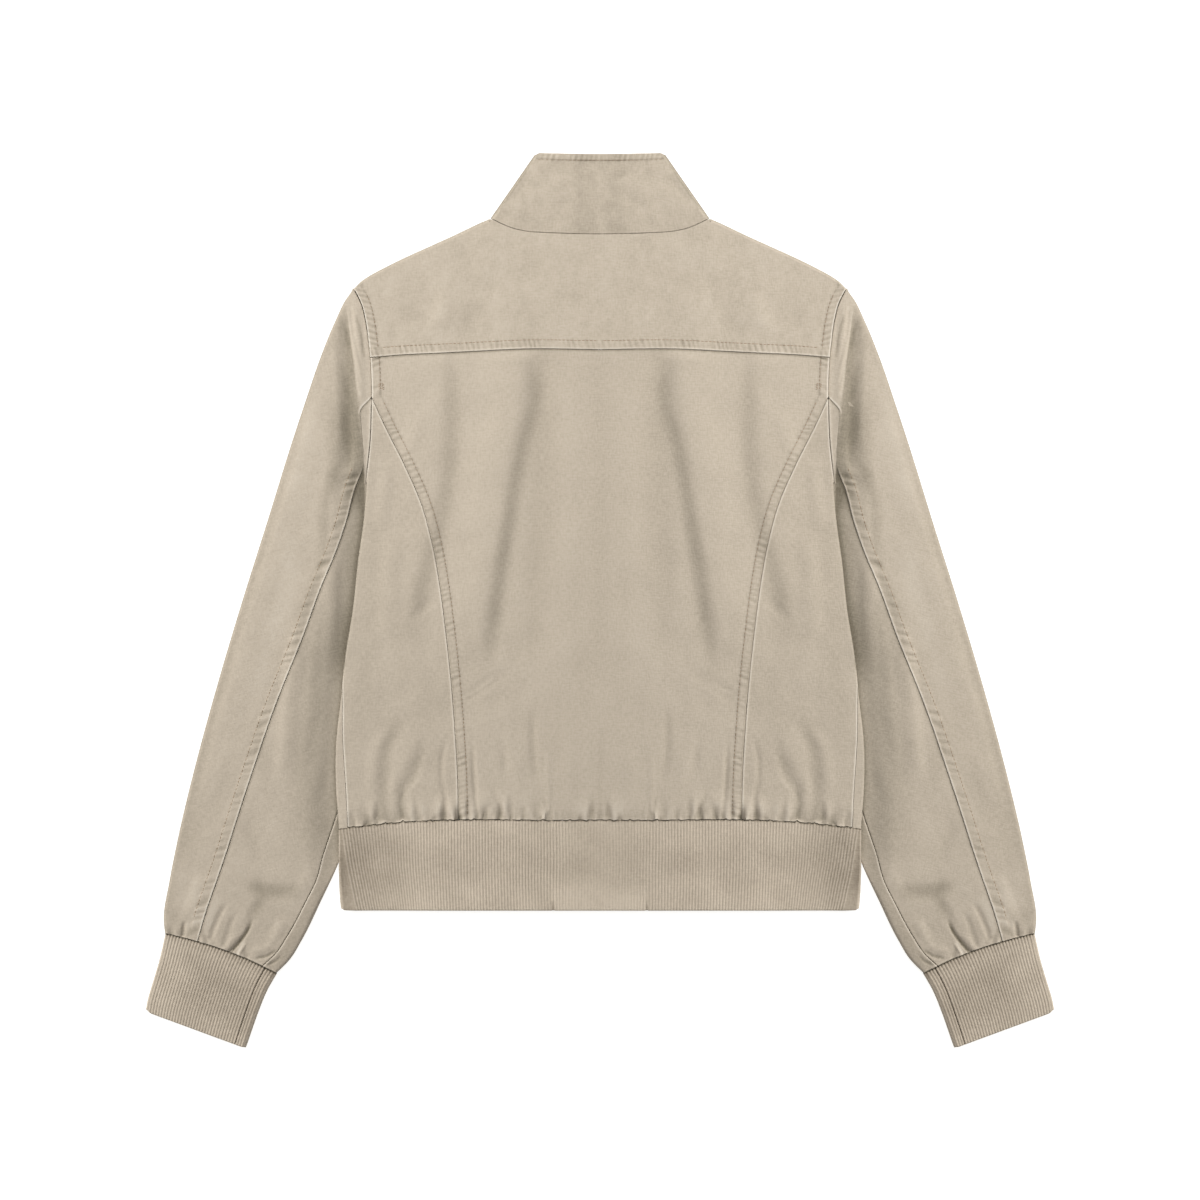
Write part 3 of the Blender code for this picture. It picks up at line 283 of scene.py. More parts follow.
# Painted shade and light along the folds: the same rows, with a tone in place of the height
BODY_PAINTED_SHADING = [
    ([(54, 206), (54, 166), (64, 130), (73, 83), (82, 33), (90, -30), (98, -75)], 12, 9, -0.34, 30,
     60),
    ([(122, 200), (123, 150), (125, 100), (137, 45), (150, 0), (159, -40)], 12, 12, -0.22, 30, 50),
    ([(30, 200), (32, 100), (34, 0), (36, -80)], 16, 20, 0.1, 30, 60),
    ([(187, 90), (190, 20), (196, -60), (204, -120)], 16, 12, -0.1, 40, 40),
    ([(167, -92), (178, -129), (179, -150), (181, -184)], 7, 8, -0.14, 24, 1),
    ([(146, -112), (156, -147), (163.5, -158), (164, -184)], 6, 7, -0.14, 24, 1),
    ([(118, 0), (120, -60), (150, -90), (190, -100)], 26, 26, -0.08, 40, 40),
]
SLEEVE_FOLDS = [
    ([(213, 240), (211, 210), (209, 180), (208, 150), (208, 120), (214, 96), (221, 74)], 5, 12,
     -2.6, 30, 70),
    ([(207, 248), (205.5, 228), (201, 206), (197, 190)], 2.2, 2.6, -0.6, 10, 10),
    ([(211.5, 228), (206, 206), (201.5, 188), (198, 174)], 2.2, 2.8, -0.6, 10, 10),
    ([(207, 196), (203, 180), (199, 164), (196, 146)], 2.2, 2.8, -0.5, 10, 12),
    ([(203.5, 160), (200.5, 146), (197.5, 128), (194.5, 112)], 2.2, 2.6, -0.5, 10, 10),
    ([(224, 236), (217, 222), (211, 206)], 7, 8, 0.7, 12, 12),
    ([(203, 250), (201, 220), (199.5, 185), (198.5, 157), (198, 133), (196, 108)], 6, 7, 1.3, 12,
     14),
    ([(198.5, 246), (197, 225), (196.5, 200)], 2.6, 2.6, -0.9, 8, 10),
    ([(236, 190), (247, 130), (270, 50), (298, -42), (317, -110), (333, -190)], 22, 12, 0.8, 50,
     40),
    ([(222, 40), (221, -20), (223, -80), (229, -130), (238, -170)], 9, 13, 1.3, 26, 24),
    ([(250, -10), (258, -70), (262, -110), (264, -160)], 13, 10, 1.1, 30, 30),
    ([(298, -176), (289, -200), (279, -223)], 9, 8, -0.6, 20, 20),
    ([(256, -240), (272, -242), (293, -237)], 12, 10, -0.8, 12, 12),
    ([(279, -247), (289, -262), (293, -274)], 7, 7, -0.6, 10, 8),
    ([(309, -249), (316, -262), (325, -284)], 3.0, 4.5, -0.9, 14, 1),
    ([(302, -258), (308, -272), (313, -290)], 4.0, 4.4, -0.6, 10, 1),
    ([(289, -264), (293, -275), (300, -285), (309, -295)], 1.6, 3.4, -1.4, 12, 1),
    ([(294, -285), (299, -292), (301.5, -298)], 1.8, 1.6, 0.7, 4, 1),
    ([(300, -276), (307, -284), (313, -291)], 4.0, 4.0, 0.6, 8, 1),
    ([(268, -290), (277, -296.5), (287, -298)], 2.0, 2.4, -0.8, 6, 3),
    ([(264, -295), (270, -301), (277, -304)], 1.8, 2.2, -0.6, 5, 1),
    ([(272, -286), (281, -291), (291, -291)], 4.0, 4.0, 0.5, 6, 4),
    ([(240, -214), (246, -236), (262, -262)], 8, 8, 0.5, 20, 20),
    ([(345.5, -266), (346.5, -273), (347.5, -281)], 3, 3, -1.2, 6, 1),
    ([(330, -225), (338, -250), (344, -270)], 8, 8, 0.6, 14, 12),
    ([(262, -262), (268, -275), (276, -290)], 7, 7, 0.7, 10, 10),
]
# Painted shade and light along the sleeve's folds: the same rows, with a tone in place of the height
SLEEVE_PAINTED_SHADING = [
    ([(204, 240), (200, 226), (197.5, 212), (195.6, 198)], 1.8, 2.4, -0.5, 8, 10),
    ([(218, 236), (214, 230), (210, 216), (208, 204)], 2.4, 3.6, -0.3, 6, 8),
    ([(244, -240), (272, -242), (299, -235)], 12, 9, -0.46, 14, 16),
    ([(278, -240), (285, -256), (290, -268)], 9, 9, -0.36, 10, 10),
    ([(289, -264), (293, -275), (300, -285), (309, -295)], 1.6, 2.2, -1.3, 12, 1),
    ([(295, -283), (300, -290), (303, -297)], 1.8, 1.6, 0.7, 4, 1),
    ([(268, -290), (277, -296.5), (287, -298)], 1.3, 1.7, -0.7, 6, 3),
    ([(262, -296), (270, -301), (279, -304)], 1.2, 1.4, -0.5, 5, 3),
    ([(336, -248), (342, -258), (346, -270)], 6, 6, -0.25, 10, 8),
    ([(225, 222), (236, 185), (247, 145), (256, 105), (268, 60)], 18, 16, 0.2, 40, 60),
    ([(262, 60), (258, 30), (268, -10), (281, -60), (296, -110)], 14, 12, 0.14, 30, 60),
    ([(219, 118), (223, 100), (228, 84), (229.5, 58), (231, 33), (241, 4), (256, -34)], 6, 9, -0.34,
     16, 40),
    ([(258, -60), (262, -120), (266, -180), (282, -214)], 12, 12, 0.06, 40, 30),
    ([(352, -205), (346, -240), (340, -276)], 26, 16, 0.24, 30, 4),
    ([(318, -240), (322, -258), (327, -280)], 10, 10, 0.22, 16, 2),
    ([(286, -90), (282, -130), (276, -170)], 9, 9, -0.14, 30, 30),
    ([(307, -120), (316, -160), (326, -200)], 9, 9, -0.1, 30, 30),
]
# Small puckers along the gathered hem seam: (x, half width, depth, length up from the seam)
PUCKERS = [(199.5, 2.6, 0.9, 14), (190.5, 2.2, 0.8, 10), (184, 2.0, 0.6, 9), (169.5, 2.4, 0.9, 16),
           (156, 2.8, 0.9, 14), (147.5, 2.0, 0.8, 10), (141, 2.2, 0.7, 13), (136, 1.8, 0.6, 8),
           (125.5, 2.6, 0.9, 15), (94.5, 2.4, 0.8, 12), (85.5, 2.2, 0.9, 14), (69, 2.2, 0.6, 9),
           (64, 2.0, 0.8, 13), (58, 1.8, 0.6, 8), (52.5, 2.0, 0.8, 12), (36, 2.4, 0.9, 14),
           (30, 2.0, 0.7, 9), (24.5, 2.0, 0.6, 8), (17, 2.4, 0.8, 13), (9, 2.0, 0.5, 9)]

# Notches of the hem seam: (x, half width, rise)
HEM_NOTCHES = [(209.7, 1.6, 0.8), (178.8, 2.2, 1.0), (163.9, 2.0, 1.5), (141.3, 1.6, 0.8),
               (125.2, 1.8, 0.6), (104.9, 1.6, 0.7), (65.6, 1.6, 0.6), (47.2, 1.9, 1.2),
               (25.2, 1.7, 0.8), (10.0, 1.6, 0.4)]


def trace(path, step=4.0):
    """Points about a step apart on the smooth line through the places of a path."""
    x, y = np.array(path, float).T
    way = run_length(x, y)
    at = np.linspace(0, way[-1], max(3, int(way[-1] / step) + 1))
    return np.column_stack([curve(zip(way, x))(at), curve(zip(way, y))(at)])


def beside(x, y, points):
    """Distance from a line, plus to the left of its run, the way along it, and its length."""
    nearest = np.full(x.shape, 1e9)
    side, along, start = np.zeros(x.shape), np.zeros(x.shape), 0.0
    for (x0, y0), (x1, y1) in zip(points[:-1], points[1:]):
        dx, dy = x1 - x0, y1 - y0
        span = np.hypot(dx, dy)
        share = np.clip(((x - x0) * dx + (y - y0) * dy) / span ** 2, 0, 1)
        off_x, off_y = x - x0 - share * dx, y - y0 - share * dy
        away = np.hypot(off_x, off_y)
        closer = away < nearest
        nearest = np.where(closer, away, nearest)
        side = np.where(closer, np.sign(dx * off_y - dy * off_x), side)
        along = np.where(closer, start + share * span, along)
        start += span
    return nearest * side, along, start


def folds(x, y, table):
    """Height that a table of folds adds: each is a bell across its line, faded at both ends."""
    height = np.zeros(x.shape)
    for path, inner, outer, rise, fade_in, fade_out in table:
        points = trace(path)
        reach = max(inner, outer)
        low, high = points.min(0) - reach, points.max(0) + reach
        near = (x > low[0]) & (x < high[0]) & (y > low[1]) & (y < high[1])
        if near.any():
            off, along, length = beside(x[near], y[near], points)
            fade = smooth(along / fade_in) * smooth((length - along) / fade_out)
            height[near] += rise * bell(off / np.where(off > 0, outer, inner)) * fade
    return height


def ripple(x, y, length, seed, waves=14):
    """Gentle unevenness about 1 high: a sum of sine waves in many directions, near one length."""
    draw = np.random.default_rng(seed)
    total = np.zeros(np.shape(x))
    for _ in range(waves):
        turn, phase = draw.uniform(0, 2 * np.pi, 2)
        rate = 2 * np.pi / (length * draw.uniform(0.7, 1.5))
        total = total + np.sin(rate * (x * np.cos(turn) + y * np.sin(turn)) + phase)
    return total / np.sqrt(waves / 2)


print(len(BODY_FOLDS), "folds and", len(PUCKERS), "puckers on each half of the back")


# %% Heights of the two top layers
def body_lift(x, y):
    """How far the body's under layer is held up by the sleeve below it."""
    return BODY_LIFT * smooth((np.abs(x) - line["sleeve inner"](y) + 13) / 12)


def hem_jag(x):
    """How far the gathered cloth lifts the hem seam: small waves, and notches at the deep folds."""
    rise = 0.2 * ripple(x, 0 * x, 6.0, 97)
    for place, width, height in HEM_NOTCHES:
        rise = rise + height * bell((x - place) / width)
    return rise * smooth((214 - x) / 4)


def body_height(x, y):
    """Outer height of the body's top layer: flat, plus folds, puckers and a gentle unevenness."""
    x = np.abs(x)
    height = BODY_TOP + folds(x, y, BODY_FOLDS)
    uneven = 0.16 * ripple(x, y, 46, 3) + 0.05 * ripple(x, y, 17, 4)
    height += uneven * smooth(x / 14)
    above = y - line["hem"](x)
    lean = above * (0.06 + 0.09 * ripple(x, 0 * x, 26, 98))
    for place, width, depth, length in PUCKERS:
        height -= 0.55 * depth * bell((x - place - lean) / width) * (1 - smooth(above / length))
    height += 0.5 * bell((above - 13) / 13) * smooth(above / 4)
    gather = np.clip(0.9 + 0.7 * ripple(x, 0 * x, 30, 96), 0, 2) * smooth(x / 6)
    height += 0.4 * gather * ripple(x + lean, 0.2 * above, 7.5, 95) * (1 - smooth(above / 26))
    height += 0.22 * gather * ripple(x + lean, 0.3 * above, 4.2, 99) * (1 - smooth(above / 9))
    least = body_lift(x, y) + 2 * CLOTH + 0.2
    return np.logaddexp(4 * height, 4 * least) / 4


def sleeve_height(x, y):
    """Outer height of the sleeve's top layer: low where the body lies on it, full beside it."""
    x = np.abs(x)
    above = smooth((y - UNDERARM_Y) / 10)
    start = line["back armhole"](y) * above + (line["shelter"](y) + 2.0) * (1 - above)
    start_rise = (BODY_TOP - SHELTERED_TOP) * smooth((y - UNDERARM_Y - 1) / 16)
    way = smooth((x - start) / (26 - 8 * above))
    outer = line["sleeve outer"](y)
    edge = smooth(1 - (outer - x) / 12)
    crest = SLEEVE_TOP - (SLEEVE_TOP - SLEEVE_EDGE) * smooth(1 - (outer - x) / 38)
    height = SHELTERED_TOP + start_rise * (1 - way) + (crest - SHELTERED_TOP) * way
    height += (CUFF_TOP + 0.3 - height) * smooth((-250 - y) / 36) * 0.6
    cuff = y - CUFF_SEAM_Y - CUFF_SEAM_TILT * (x - CUFF_SEAM_X) / CUFF_SEAM_RUN - 3.4
    pleats = 0.3 * ripple(x, 0.3 * cuff, 6.5, 86) * (1 - smooth(cuff / 14))
    height += pleats * np.clip(0.8 + 0.8 * ripple(x, 0 * x, 24, 87), 0, 2)
    height += folds(x, y, SLEEVE_FOLDS) * np.minimum(1, 0.15 + way) * (1 - 0.8 * edge)
    height += (0.14 * ripple(x, y, 40, 8) + 0.05 * ripple(x, y, 15, 9)) * way * (1 - edge)
    return np.logaddexp(4 * height, 4 * SHELTERED_TOP) / 4 - 0.17 * (1 - way)


print("highest place of the back:", round(float(body_height(np.linspace(0, 190, 400),
                                                           np.full(400, 100.0)).max()), 2), "mm")


# %% [markdown]
# ## Seams
#
# A sewn seam is a thin groove between two folded edges. Where it is topstitched, the seam allowance
# lies under one side and lifts it by half a millimetre, a line of stitches dents the cloth 7 mm
# from the edge, and washing shrinks the thread, so the strip between puckers into short slanting
# waves. Their crests rub pale. Each panel adds this to its height near its own edges, and keeps
# its colour as a number called tone: above 0 is rubbed pale and partly a painted highlight, below 0
# is painted shade, as in the seam grooves and the troughs of the puckers.

# %% Relief and tone beside a seam
def seam_side(gap, along, lip, stitched=False, seed=1, band=BODY_BAND, period=4.7, amount=0.11,
              dark=0.45, thread=0.2):
    """Relief and tone at a distance (gap) from a panel's edge, at a way along it.

    The edge is a quarter round. A stitched side adds a raised strip, a dent under the stitches
    and sine waves that slant across the strip, uneven in strength and length. In the tone, a lip
    above 0 is a pale line along the edge, rubbed and partly a painted highlight, a lip below 0 is a
    line of painted shade, and dark is painted shadow in the groove at the edge. The waves' crests
    rub pale, their troughs carry painted shade, and the tone is darker along the stitch line.
    """
    corner = np.clip(1 - gap / 0.6, 0, 1)
    height = -0.5 * (1 - np.sqrt(1 - corner ** 2))
    height = height + 0.12 * np.maximum(lip, 0) * np.exp(-((gap - 0.9) / 0.7) ** 2)
    # Tone: a pale lip, rubbed and partly a painted highlight, and painted shadow in the seam's
    # groove
    tone = lip * np.exp(-((gap - 0.8) / 0.6) ** 2) - dark * np.exp(-(gap / 0.4) ** 2)
    if stitched:
        strength = np.clip(0.9 + 0.5 * ripple(along, 0 * along, 21, seed), 0.2, 1.8)
        phase = 2 * np.pi * (along + 0.3 * gap) / period
        phase = phase + 1.3 * ripple(along, 0 * along, 24, seed + 1)
        strip = smooth(gap / 1.6) * (1 - smooth((gap - band + 0.5) / 3.0)) * strength
        height = height + 0.42 * (1 - smooth((gap - band + 0.8) / 2.4))
        height = height - 0.2 * np.exp(-((gap - band) / 0.6) ** 2) + amount * strip * np.sin(phase)
        # Pucker crests rub pale and their troughs carry painted shade; darker along the stitch line
        tone = tone + 2.0 * amount * strip * (np.sin(phase) - 0.4)
        tone = tone - thread * np.exp(-((gap - band) / 0.7) ** 2)
    return height, tone


# %% [markdown]
# ## Panels as thin shells
#
# A panel is a grid of points: rows along it and columns across it. Its outer side is fine, and its
# inner side is the same grid with most rows and columns left out, because nobody sees it. The rim
# between them is zipped: every outer edge goes to the nearer inner point. The alternative is a
# Solidify modifier, but that would spend as many triangles on the inside as on the outside.

# %% Build a shell from two grids
def quads(index, cells):
    """Faces of the kept cells of a grid of point numbers."""
    a, b = index[:-1, :-1][cells], index[:-1, 1:][cells]
    c, d = index[1:, 1:][cells], index[1:, :-1][cells]
    return np.column_stack([a, b, c, d])


def rim_edges(faces):
    """Directed edges of quads that no other quad shares, as pairs of point numbers."""
    edges = np.concatenate([faces[:, [i, (i + 1) % 4]] for i in range(4)])
    size = int(faces.max()) + 1
    forth, back = edges[:, 0] * size + edges[:, 1], edges[:, 1] * size + edges[:, 0]
    return edges[~np.isin(forth, back)]


def place_object(name, data):
    """An object in the scene for a mesh, a lamp or a camera."""
    item = bpy.data.objects.new(name, data)
    bpy.context.scene.collection.objects.link(item)
    return item


def new_object(name, points, faces, material, mirrored=False, tone=None, uv=None):
    """A smooth mesh object in metres, with its tone attribute and UV map."""
    points = np.asarray(points, float) * MM
    if mirrored:
        points = points * (-1, 1, 1)
        faces = [face[::-1] for face in faces]
    mesh = bpy.data.meshes.new(name)
    mesh.from_pydata(points.tolist(), [], faces)
    mesh.shade_smooth()
    mesh.set_sharp_from_angle(angle=np.radians(60))
    if tone is not None:
        mesh.attributes.new("tone", "FLOAT", "POINT").data.foreach_set("value", tone)
    if uv is not None:
        corner = np.empty(len(mesh.loops), int)
        mesh.loops.foreach_get("vertex_index", corner)
        mesh.uv_layers.new(name="cloth").data.foreach_set("uv", (uv[corner] * MM).ravel())
    mesh.materials.append(material)
    return place_object(name, mesh)


PIECES = {}


def shell(solid, name, outer, inner, material, tone, keep=None, marks=((), ()), thin=5,
          mirrored=False, painted_edge_shade=0.0, grain=0.0):
    """A closed wall between an outer and an inner grid of points, in the place of a solid.

    The inner grid keeps one row and column in every few (thin), those in marks, and the last.
    Where the outer side rolls over an edge, painted shade lowers its tone, by a number or one per
    point.
    The threads run down the jacket, turned by the angle grain in degrees.
    """
    rows, cols = outer.shape[:2]
    keep = np.ones((rows - 1, cols - 1), bool) if keep is None else keep
    some_rows = np.array(sorted({*range(0, rows - 1, thin), rows - 1, *marks[0]}))
    some_cols = np.array(sorted({*range(0, cols - 1, thin), cols - 1, *marks[1]}))
    fine = np.arange(rows * cols).reshape(rows, cols)
    coarse = rows * cols + np.arange(len(some_rows) * len(some_cols))
    coarse = coarse.reshape(len(some_rows), len(some_cols))
    front = quads(fine, keep)
    back = quads(coarse, keep[np.ix_(some_rows[:-1], some_cols[:-1])])

    def nearest(at, some):
        """Number of the inner line that serves the outer edge which starts at a line."""
        j = np.clip(np.searchsorted(some, at, "right") - 1, 0, len(some) - 2)
        return np.where(at < (some[j] + some[j + 1]) // 2, j, j + 1)

    edge = rim_edges(front)
    row, col = np.divmod(edge, cols)
    across = row[:, 0] == row[:, 1]
    row_line = np.where(across, np.searchsorted(some_rows, row[:, 0]),
                        nearest(row.min(1), some_rows))
    col_line = np.where(across, nearest(col.min(1), some_cols),
                        np.searchsorted(some_cols, col[:, 0]))
    zip_out = np.column_stack([edge[:, 1], edge[:, 0], coarse[row_line, col_line]])
    edge = rim_edges(back)
    row, col = np.divmod(edge - rows * cols, len(some_cols))
    middle = fine[some_rows[row].sum(1) // 2, some_cols[col].sum(1) // 2]
    zip_in = np.column_stack([edge[:, 0], edge[:, 1], middle])

    some = np.ix_(some_rows, some_cols)
    points = np.concatenate([outer.reshape(-1, 3), inner[some].reshape(-1, 3)])
    sine, cosine = np.sin(np.radians(grain)), np.cos(np.radians(grain))
    uv = outer[..., :2] @ np.array([[cosine, -sine], [sine, cosine]])
    uv = np.concatenate([uv.reshape(-1, 2), uv[some].reshape(-1, 2)])
    facing = np.cross(np.gradient(outer, axis=0), np.gradient(outer, axis=1))
    facing = np.abs(facing[..., 2]) / (np.linalg.norm(facing, axis=2) + 1e-9)
    # Painted shade where the outer side turns away from straight up
    tone = tone - 1.6 * painted_edge_shade * smooth((0.99 - facing) / 0.3)
    # Painted shade on the inner side
    tone = np.concatenate([tone.ravel(), np.full(coarse.size, -0.4)])
    faces = [front, back[:, ::-1], zip_out, zip_in]
    used = np.unique(np.concatenate([f.ravel() for f in faces]))
    number = np.zeros(len(points), int)
    number[used] = np.arange(len(used))
    corners = [group[:, [0, i, i + 1]] for group in faces for i in range(1, group.shape[1] - 1)]
    a, b, c = (points[np.concatenate(corners)[:, i]] for i in range(3))
    if np.einsum("ij,ij", a, np.cross(b, c)) < 0:
        faces = [group[:, ::-1] for group in faces]
    faces = [face for group in faces for face in number[group].tolist()]
    PIECES[solid] = new_object(name, points[used], faces, material, mirrored, tone[used], uv[used])
    print(name, len(faces), "faces")


def stack(x, y, z):
    """One array of points from arrays of x, y and z."""
    return np.stack(np.broadcast_arrays(x, y, z), axis=-1)


# %% [markdown]
# ## Cloth and thread
#
# The shell cloth is garment-dyed cotton twill that was washed after sewing. What the eye gets is a
# dull, warm stone colour with a faint bloom of loose fibres at grazing angles, tiny slubs along
# both threads, and paler edges. The bands are a 1 by 1 cotton rib, a shade darker. Both are plain
# dielectrics with an IOR near 1.5 and almost no gloss. The tone attribute moves the colour down to
# painted shade and up to a pale colour for rubbed wear and painted highlights.

# %% Materials
def linear(code):
    """Linear colour of an sRGB hex code."""
    value = np.array([int(code[i:i + 2], 16) for i in (1, 3, 5)]) / 255
    value = np.where(value <= 0.04045, value / 12.92, ((value + 0.055) / 1.055) ** 2.4)
    return (*value.tolist(), 1.0)


def node(tree, kind, settings, inputs):
    """Add a node with its settings; an input is a value or another node's (node, output)."""
    made = tree.nodes.new(kind)
    for name, value in settings.items():
        setattr(made, name, value)
    for name, value in inputs.items():
        if isinstance(value, tuple) and isinstance(value[0], bpy.types.Node):
            tree.links.new(value[0].outputs[value[1]], made.inputs[name])
        else:
            made.inputs[name].default_value = value
    return made


def cloth(name, body, deepest_shade_colour, painted_shade_colour, rubbed_and_lit_colour, thread, bump, roughness=0.92, sheen=0.18):
    """Dull cotton: threads at a pitch in millimetres, soft patches, and tone: wear and painted
    shading.
    """
    material = bpy.data.materials.new(name)
    material.use_nodes = True
    tree = material.node_tree
    tree.nodes.clear()
    place = node(tree, "ShaderNodeUVMap", {"uv_map": "cloth"}, {})
    spot = node(tree, "ShaderNodeTexCoord", {}, {})
    tone = node(tree, "ShaderNodeAttribute", {"attribute_name": "tone"}, {})
    patches = node(tree, "ShaderNodeTexNoise", {}, {
        "Vector": (spot, "Object"), "Scale": 45.0, "Detail": 4.0, "Roughness": 0.6})
    threads = []
    for stretch in ((1.0, 0.28, 1.0), (0.28, 1.0, 1.0)):
        turned = node(tree, "ShaderNodeMapping", {}, {"Vector": (place, "UV"), "Scale": stretch})
        threads.append(node(tree, "ShaderNodeTexNoise", {}, {
            "Vector": (turned, "Vector"), "Scale": 1000 / thread, "Detail": 2.0, "Roughness": 0.5}))
    weave = node(tree, "ShaderNodeMath", {"operation": "ADD"}, {
        0: (threads[0], "Fac"), 1: (threads[1], "Fac")})
    uneven = node(tree, "ShaderNodeMath", {"operation": "MULTIPLY_ADD"}, {
        0: (patches, "Fac"), 1: 0.35, 2: (weave, "Value")})
    shade = node(tree, "ShaderNodeMapRange", {}, {
        "Value": (uneven, "Value"), "From Min": 0.875, "From Max": 1.475, "To Min": -0.185,
        "To Max": 0.185})
    total = node(tree, "ShaderNodeMath", {"operation": "ADD"}, {
        0: (shade, "Result"), 1: (tone, "Fac")})
    along = node(tree, "ShaderNodeMapRange", {}, {
        "Value": (total, "Value"), "From Min": -1.6, "From Max": 1.0})
    ramp = node(tree, "ShaderNodeValToRGB", {}, {"Fac": (along, "Result")})
    # Stops by tone: deepest painted shade at -1.6, painted shade at -1, plain at 0, and at 1 the
    # pale colour of rubbed wear and painted highlights
    stops = ramp.color_ramp.elements
    stops[0].color, stops[1].color = linear(deepest_shade_colour), linear(rubbed_and_lit_colour)
    stops.new(0.6 / 2.6).color, stops.new(1.6 / 2.6).color = linear(painted_shade_colour), linear(body)
    relief = node(tree, "ShaderNodeBump", {}, {
        "Strength": bump, "Distance": 0.0004, "Height": (weave, "Value")})
    surface = node(tree, "ShaderNodeBsdfPrincipled", {}, {
        "Base Color": (ramp, "Color"), "Roughness": roughness, "IOR": 1.5,
        "Specular IOR Level": 0.25, "Sheen Weight": sheen, "Sheen Roughness": 0.5,
        "Normal": (relief, "Normal")})
    node(tree, "ShaderNodeOutputMaterial", {}, {"Surface": (surface, "BSDF")})
    return material


# Colours of each cloth: plain, deepest painted shade, painted shade, and pale for rubbed wear and
# painted highlights
# Twill threads are 0.5 mm apart, but the render shows nothing finer than 1.3 mm
TWILL = cloth("washed_cotton_twill", "#b6aa99", "#635b4c", "#857c6c", "#d0c7b8", 1.3, 0.35)
RIB_KNIT = cloth("cotton_rib_knit", "#c1b4a2", "#6c6252", "#8f8373", "#d2c6b5", 1.3, 0.3)
THREAD = cloth("cotton_sewing_thread", "#968069", "#6f5f4e", "#836f5b", "#ad9983", 0.4, 0.2)
print("materials:", TWILL.name, RIB_KNIT.name, THREAD.name)

# %% [markdown]
# ## The back
#
# The wide middle panel hangs from the yoke seam and is gathered into the hem band. Its sides are
# topstitched along the armhole and the long curved seams. The rows of its grid run across, bent so
# that the first follows the yoke seam and the last the hem seam, and the columns crowd towards the
# sides, where the stitched strip needs them.

# %% Middle back panel
def hem_edge(x):
    """Lower edge of the cloth above the hem seam."""
    return line["hem"](np.abs(x)) + HALF_SEAM


def centre_row_y(share, x):
    """Place of a row: a share of the way from the yoke seam to the hem seam."""
    top = line["yoke"](x) - HALF_SEAM
    return top + (hem_edge(x) - top) * share


def painted_fold_shade(height, level):
    """Painted shade of the folds: troughs are painted a little darker than ridges."""
    return np.clip(0.16 * (height - level), -0.6, 0.0)


def back_painted_shading(x, y, height):
    """Painted shade of the back: in its folds, and painted shade and light along them."""
    return painted_fold_shade(height, BODY_TOP) + folds(np.abs(x), y, BODY_PAINTED_SHADING)


def gather_shade_and_wear(height, above):
    """Tone of gathers by the hem seam: painted shade in creases, crests rubbed and painted pale."""
    return np.clip(0.34 * (height - BODY_TOP - 0.3), -0.45, 0.3) * (1 - smooth((above - 3) / 22))


def make_back_centre():
    """The middle panel: height of the back, plus the seams on its four sides."""
    share = spread(0, 1, EDGE / YOKE_TO_HEM, EDGE / YOKE_TO_HEM, 246)[0]
    width = np.full(share.shape, 150.0)
    for _ in range(12):
        y = centre_row_y(share, width)
        arm, long = seam_edge("back armhole", y, -1), seam_edge("princess", y, -1)
        width = np.where(y > CORNER_Y, arm, np.minimum(long, arm))
    edge_y = centre_row_y(share, width)
    x = spread(-width, width, STITCHED_EDGE, STITCHED_EDGE, 142)
    y = centre_row_y(share[:, None], np.abs(x))
    lean = np.hypot(1, np.gradient(width, edge_y))[:, None]
    lip = np.where(edge_y > CORNER_Y, 1.1, -0.3)[:, None]
    sides = seam_side((width[:, None] - np.abs(x)) / lean, run_length(width, edge_y)[:, None], lip,
                      True, 21, dark=np.where(edge_y > CORNER_Y, 0.1, 0.3)[:, None])
    top = seam_side(line["yoke"](np.abs(x)) - HALF_SEAM - y, x, -0.6, dark=0.8)
    above = y - line["hem"](np.abs(x)) - HALF_SEAM
    hem = seam_side(above, x, 0.3, dark=2.4)
    y = y + hem_jag(np.abs(x)) * np.exp(-above / 2.5)
    height = body_height(x, y)
    z = height + sides[0] + top[0] + hem[0]
    # Tone: painted shade along the folds, in the seam grooves, under the yoke's edge, beside the
    # long seams and in the gathers' creases; pale armhole lips, rubbed and partly a painted
    # highlight
    tone = back_painted_shading(x, y, height) + sides[1] + top[1] + hem[1] + gather_shade_and_wear(height, above)
    shell("back_centre", "back_panel_centre", stack(x, y, z), stack(x, y, height - CLOTH), TWILL,
          tone)


make_back_centre()

# %% [markdown]
# ## Side panels
#
# A side panel starts at the curved seam, turns round the side fold and ends at the side seam. Its
# places are counted along the cloth, as a tape measure would, from the middle of the fold. So the
# turn is a true half circle, wherever the side seam lies.

# %% Sections round the side of the body
def drop_y(x, drop):
    """Place of a section: drop is 0 at the underarm and 1 at the hem seam."""
    return UNDERARM_Y + (hem_edge(x) - UNDERARM_Y) * drop


def body_rows(drop):
    """Half width, height of the under layer and radius of the side fold in each section."""
    half = line["side edge"](drop_y(218.0, drop))
    half = line["side edge"](drop_y(half, drop))
    low = body_lift(half, drop_y(half, drop))
    radius = np.full(half.shape, 1.6)
    for _ in range(4):
        flat = half - radius
        radius = (body_height(flat, drop_y(flat, drop)) - low) / 2
    return {"half": half, "low": low, "radius": radius}


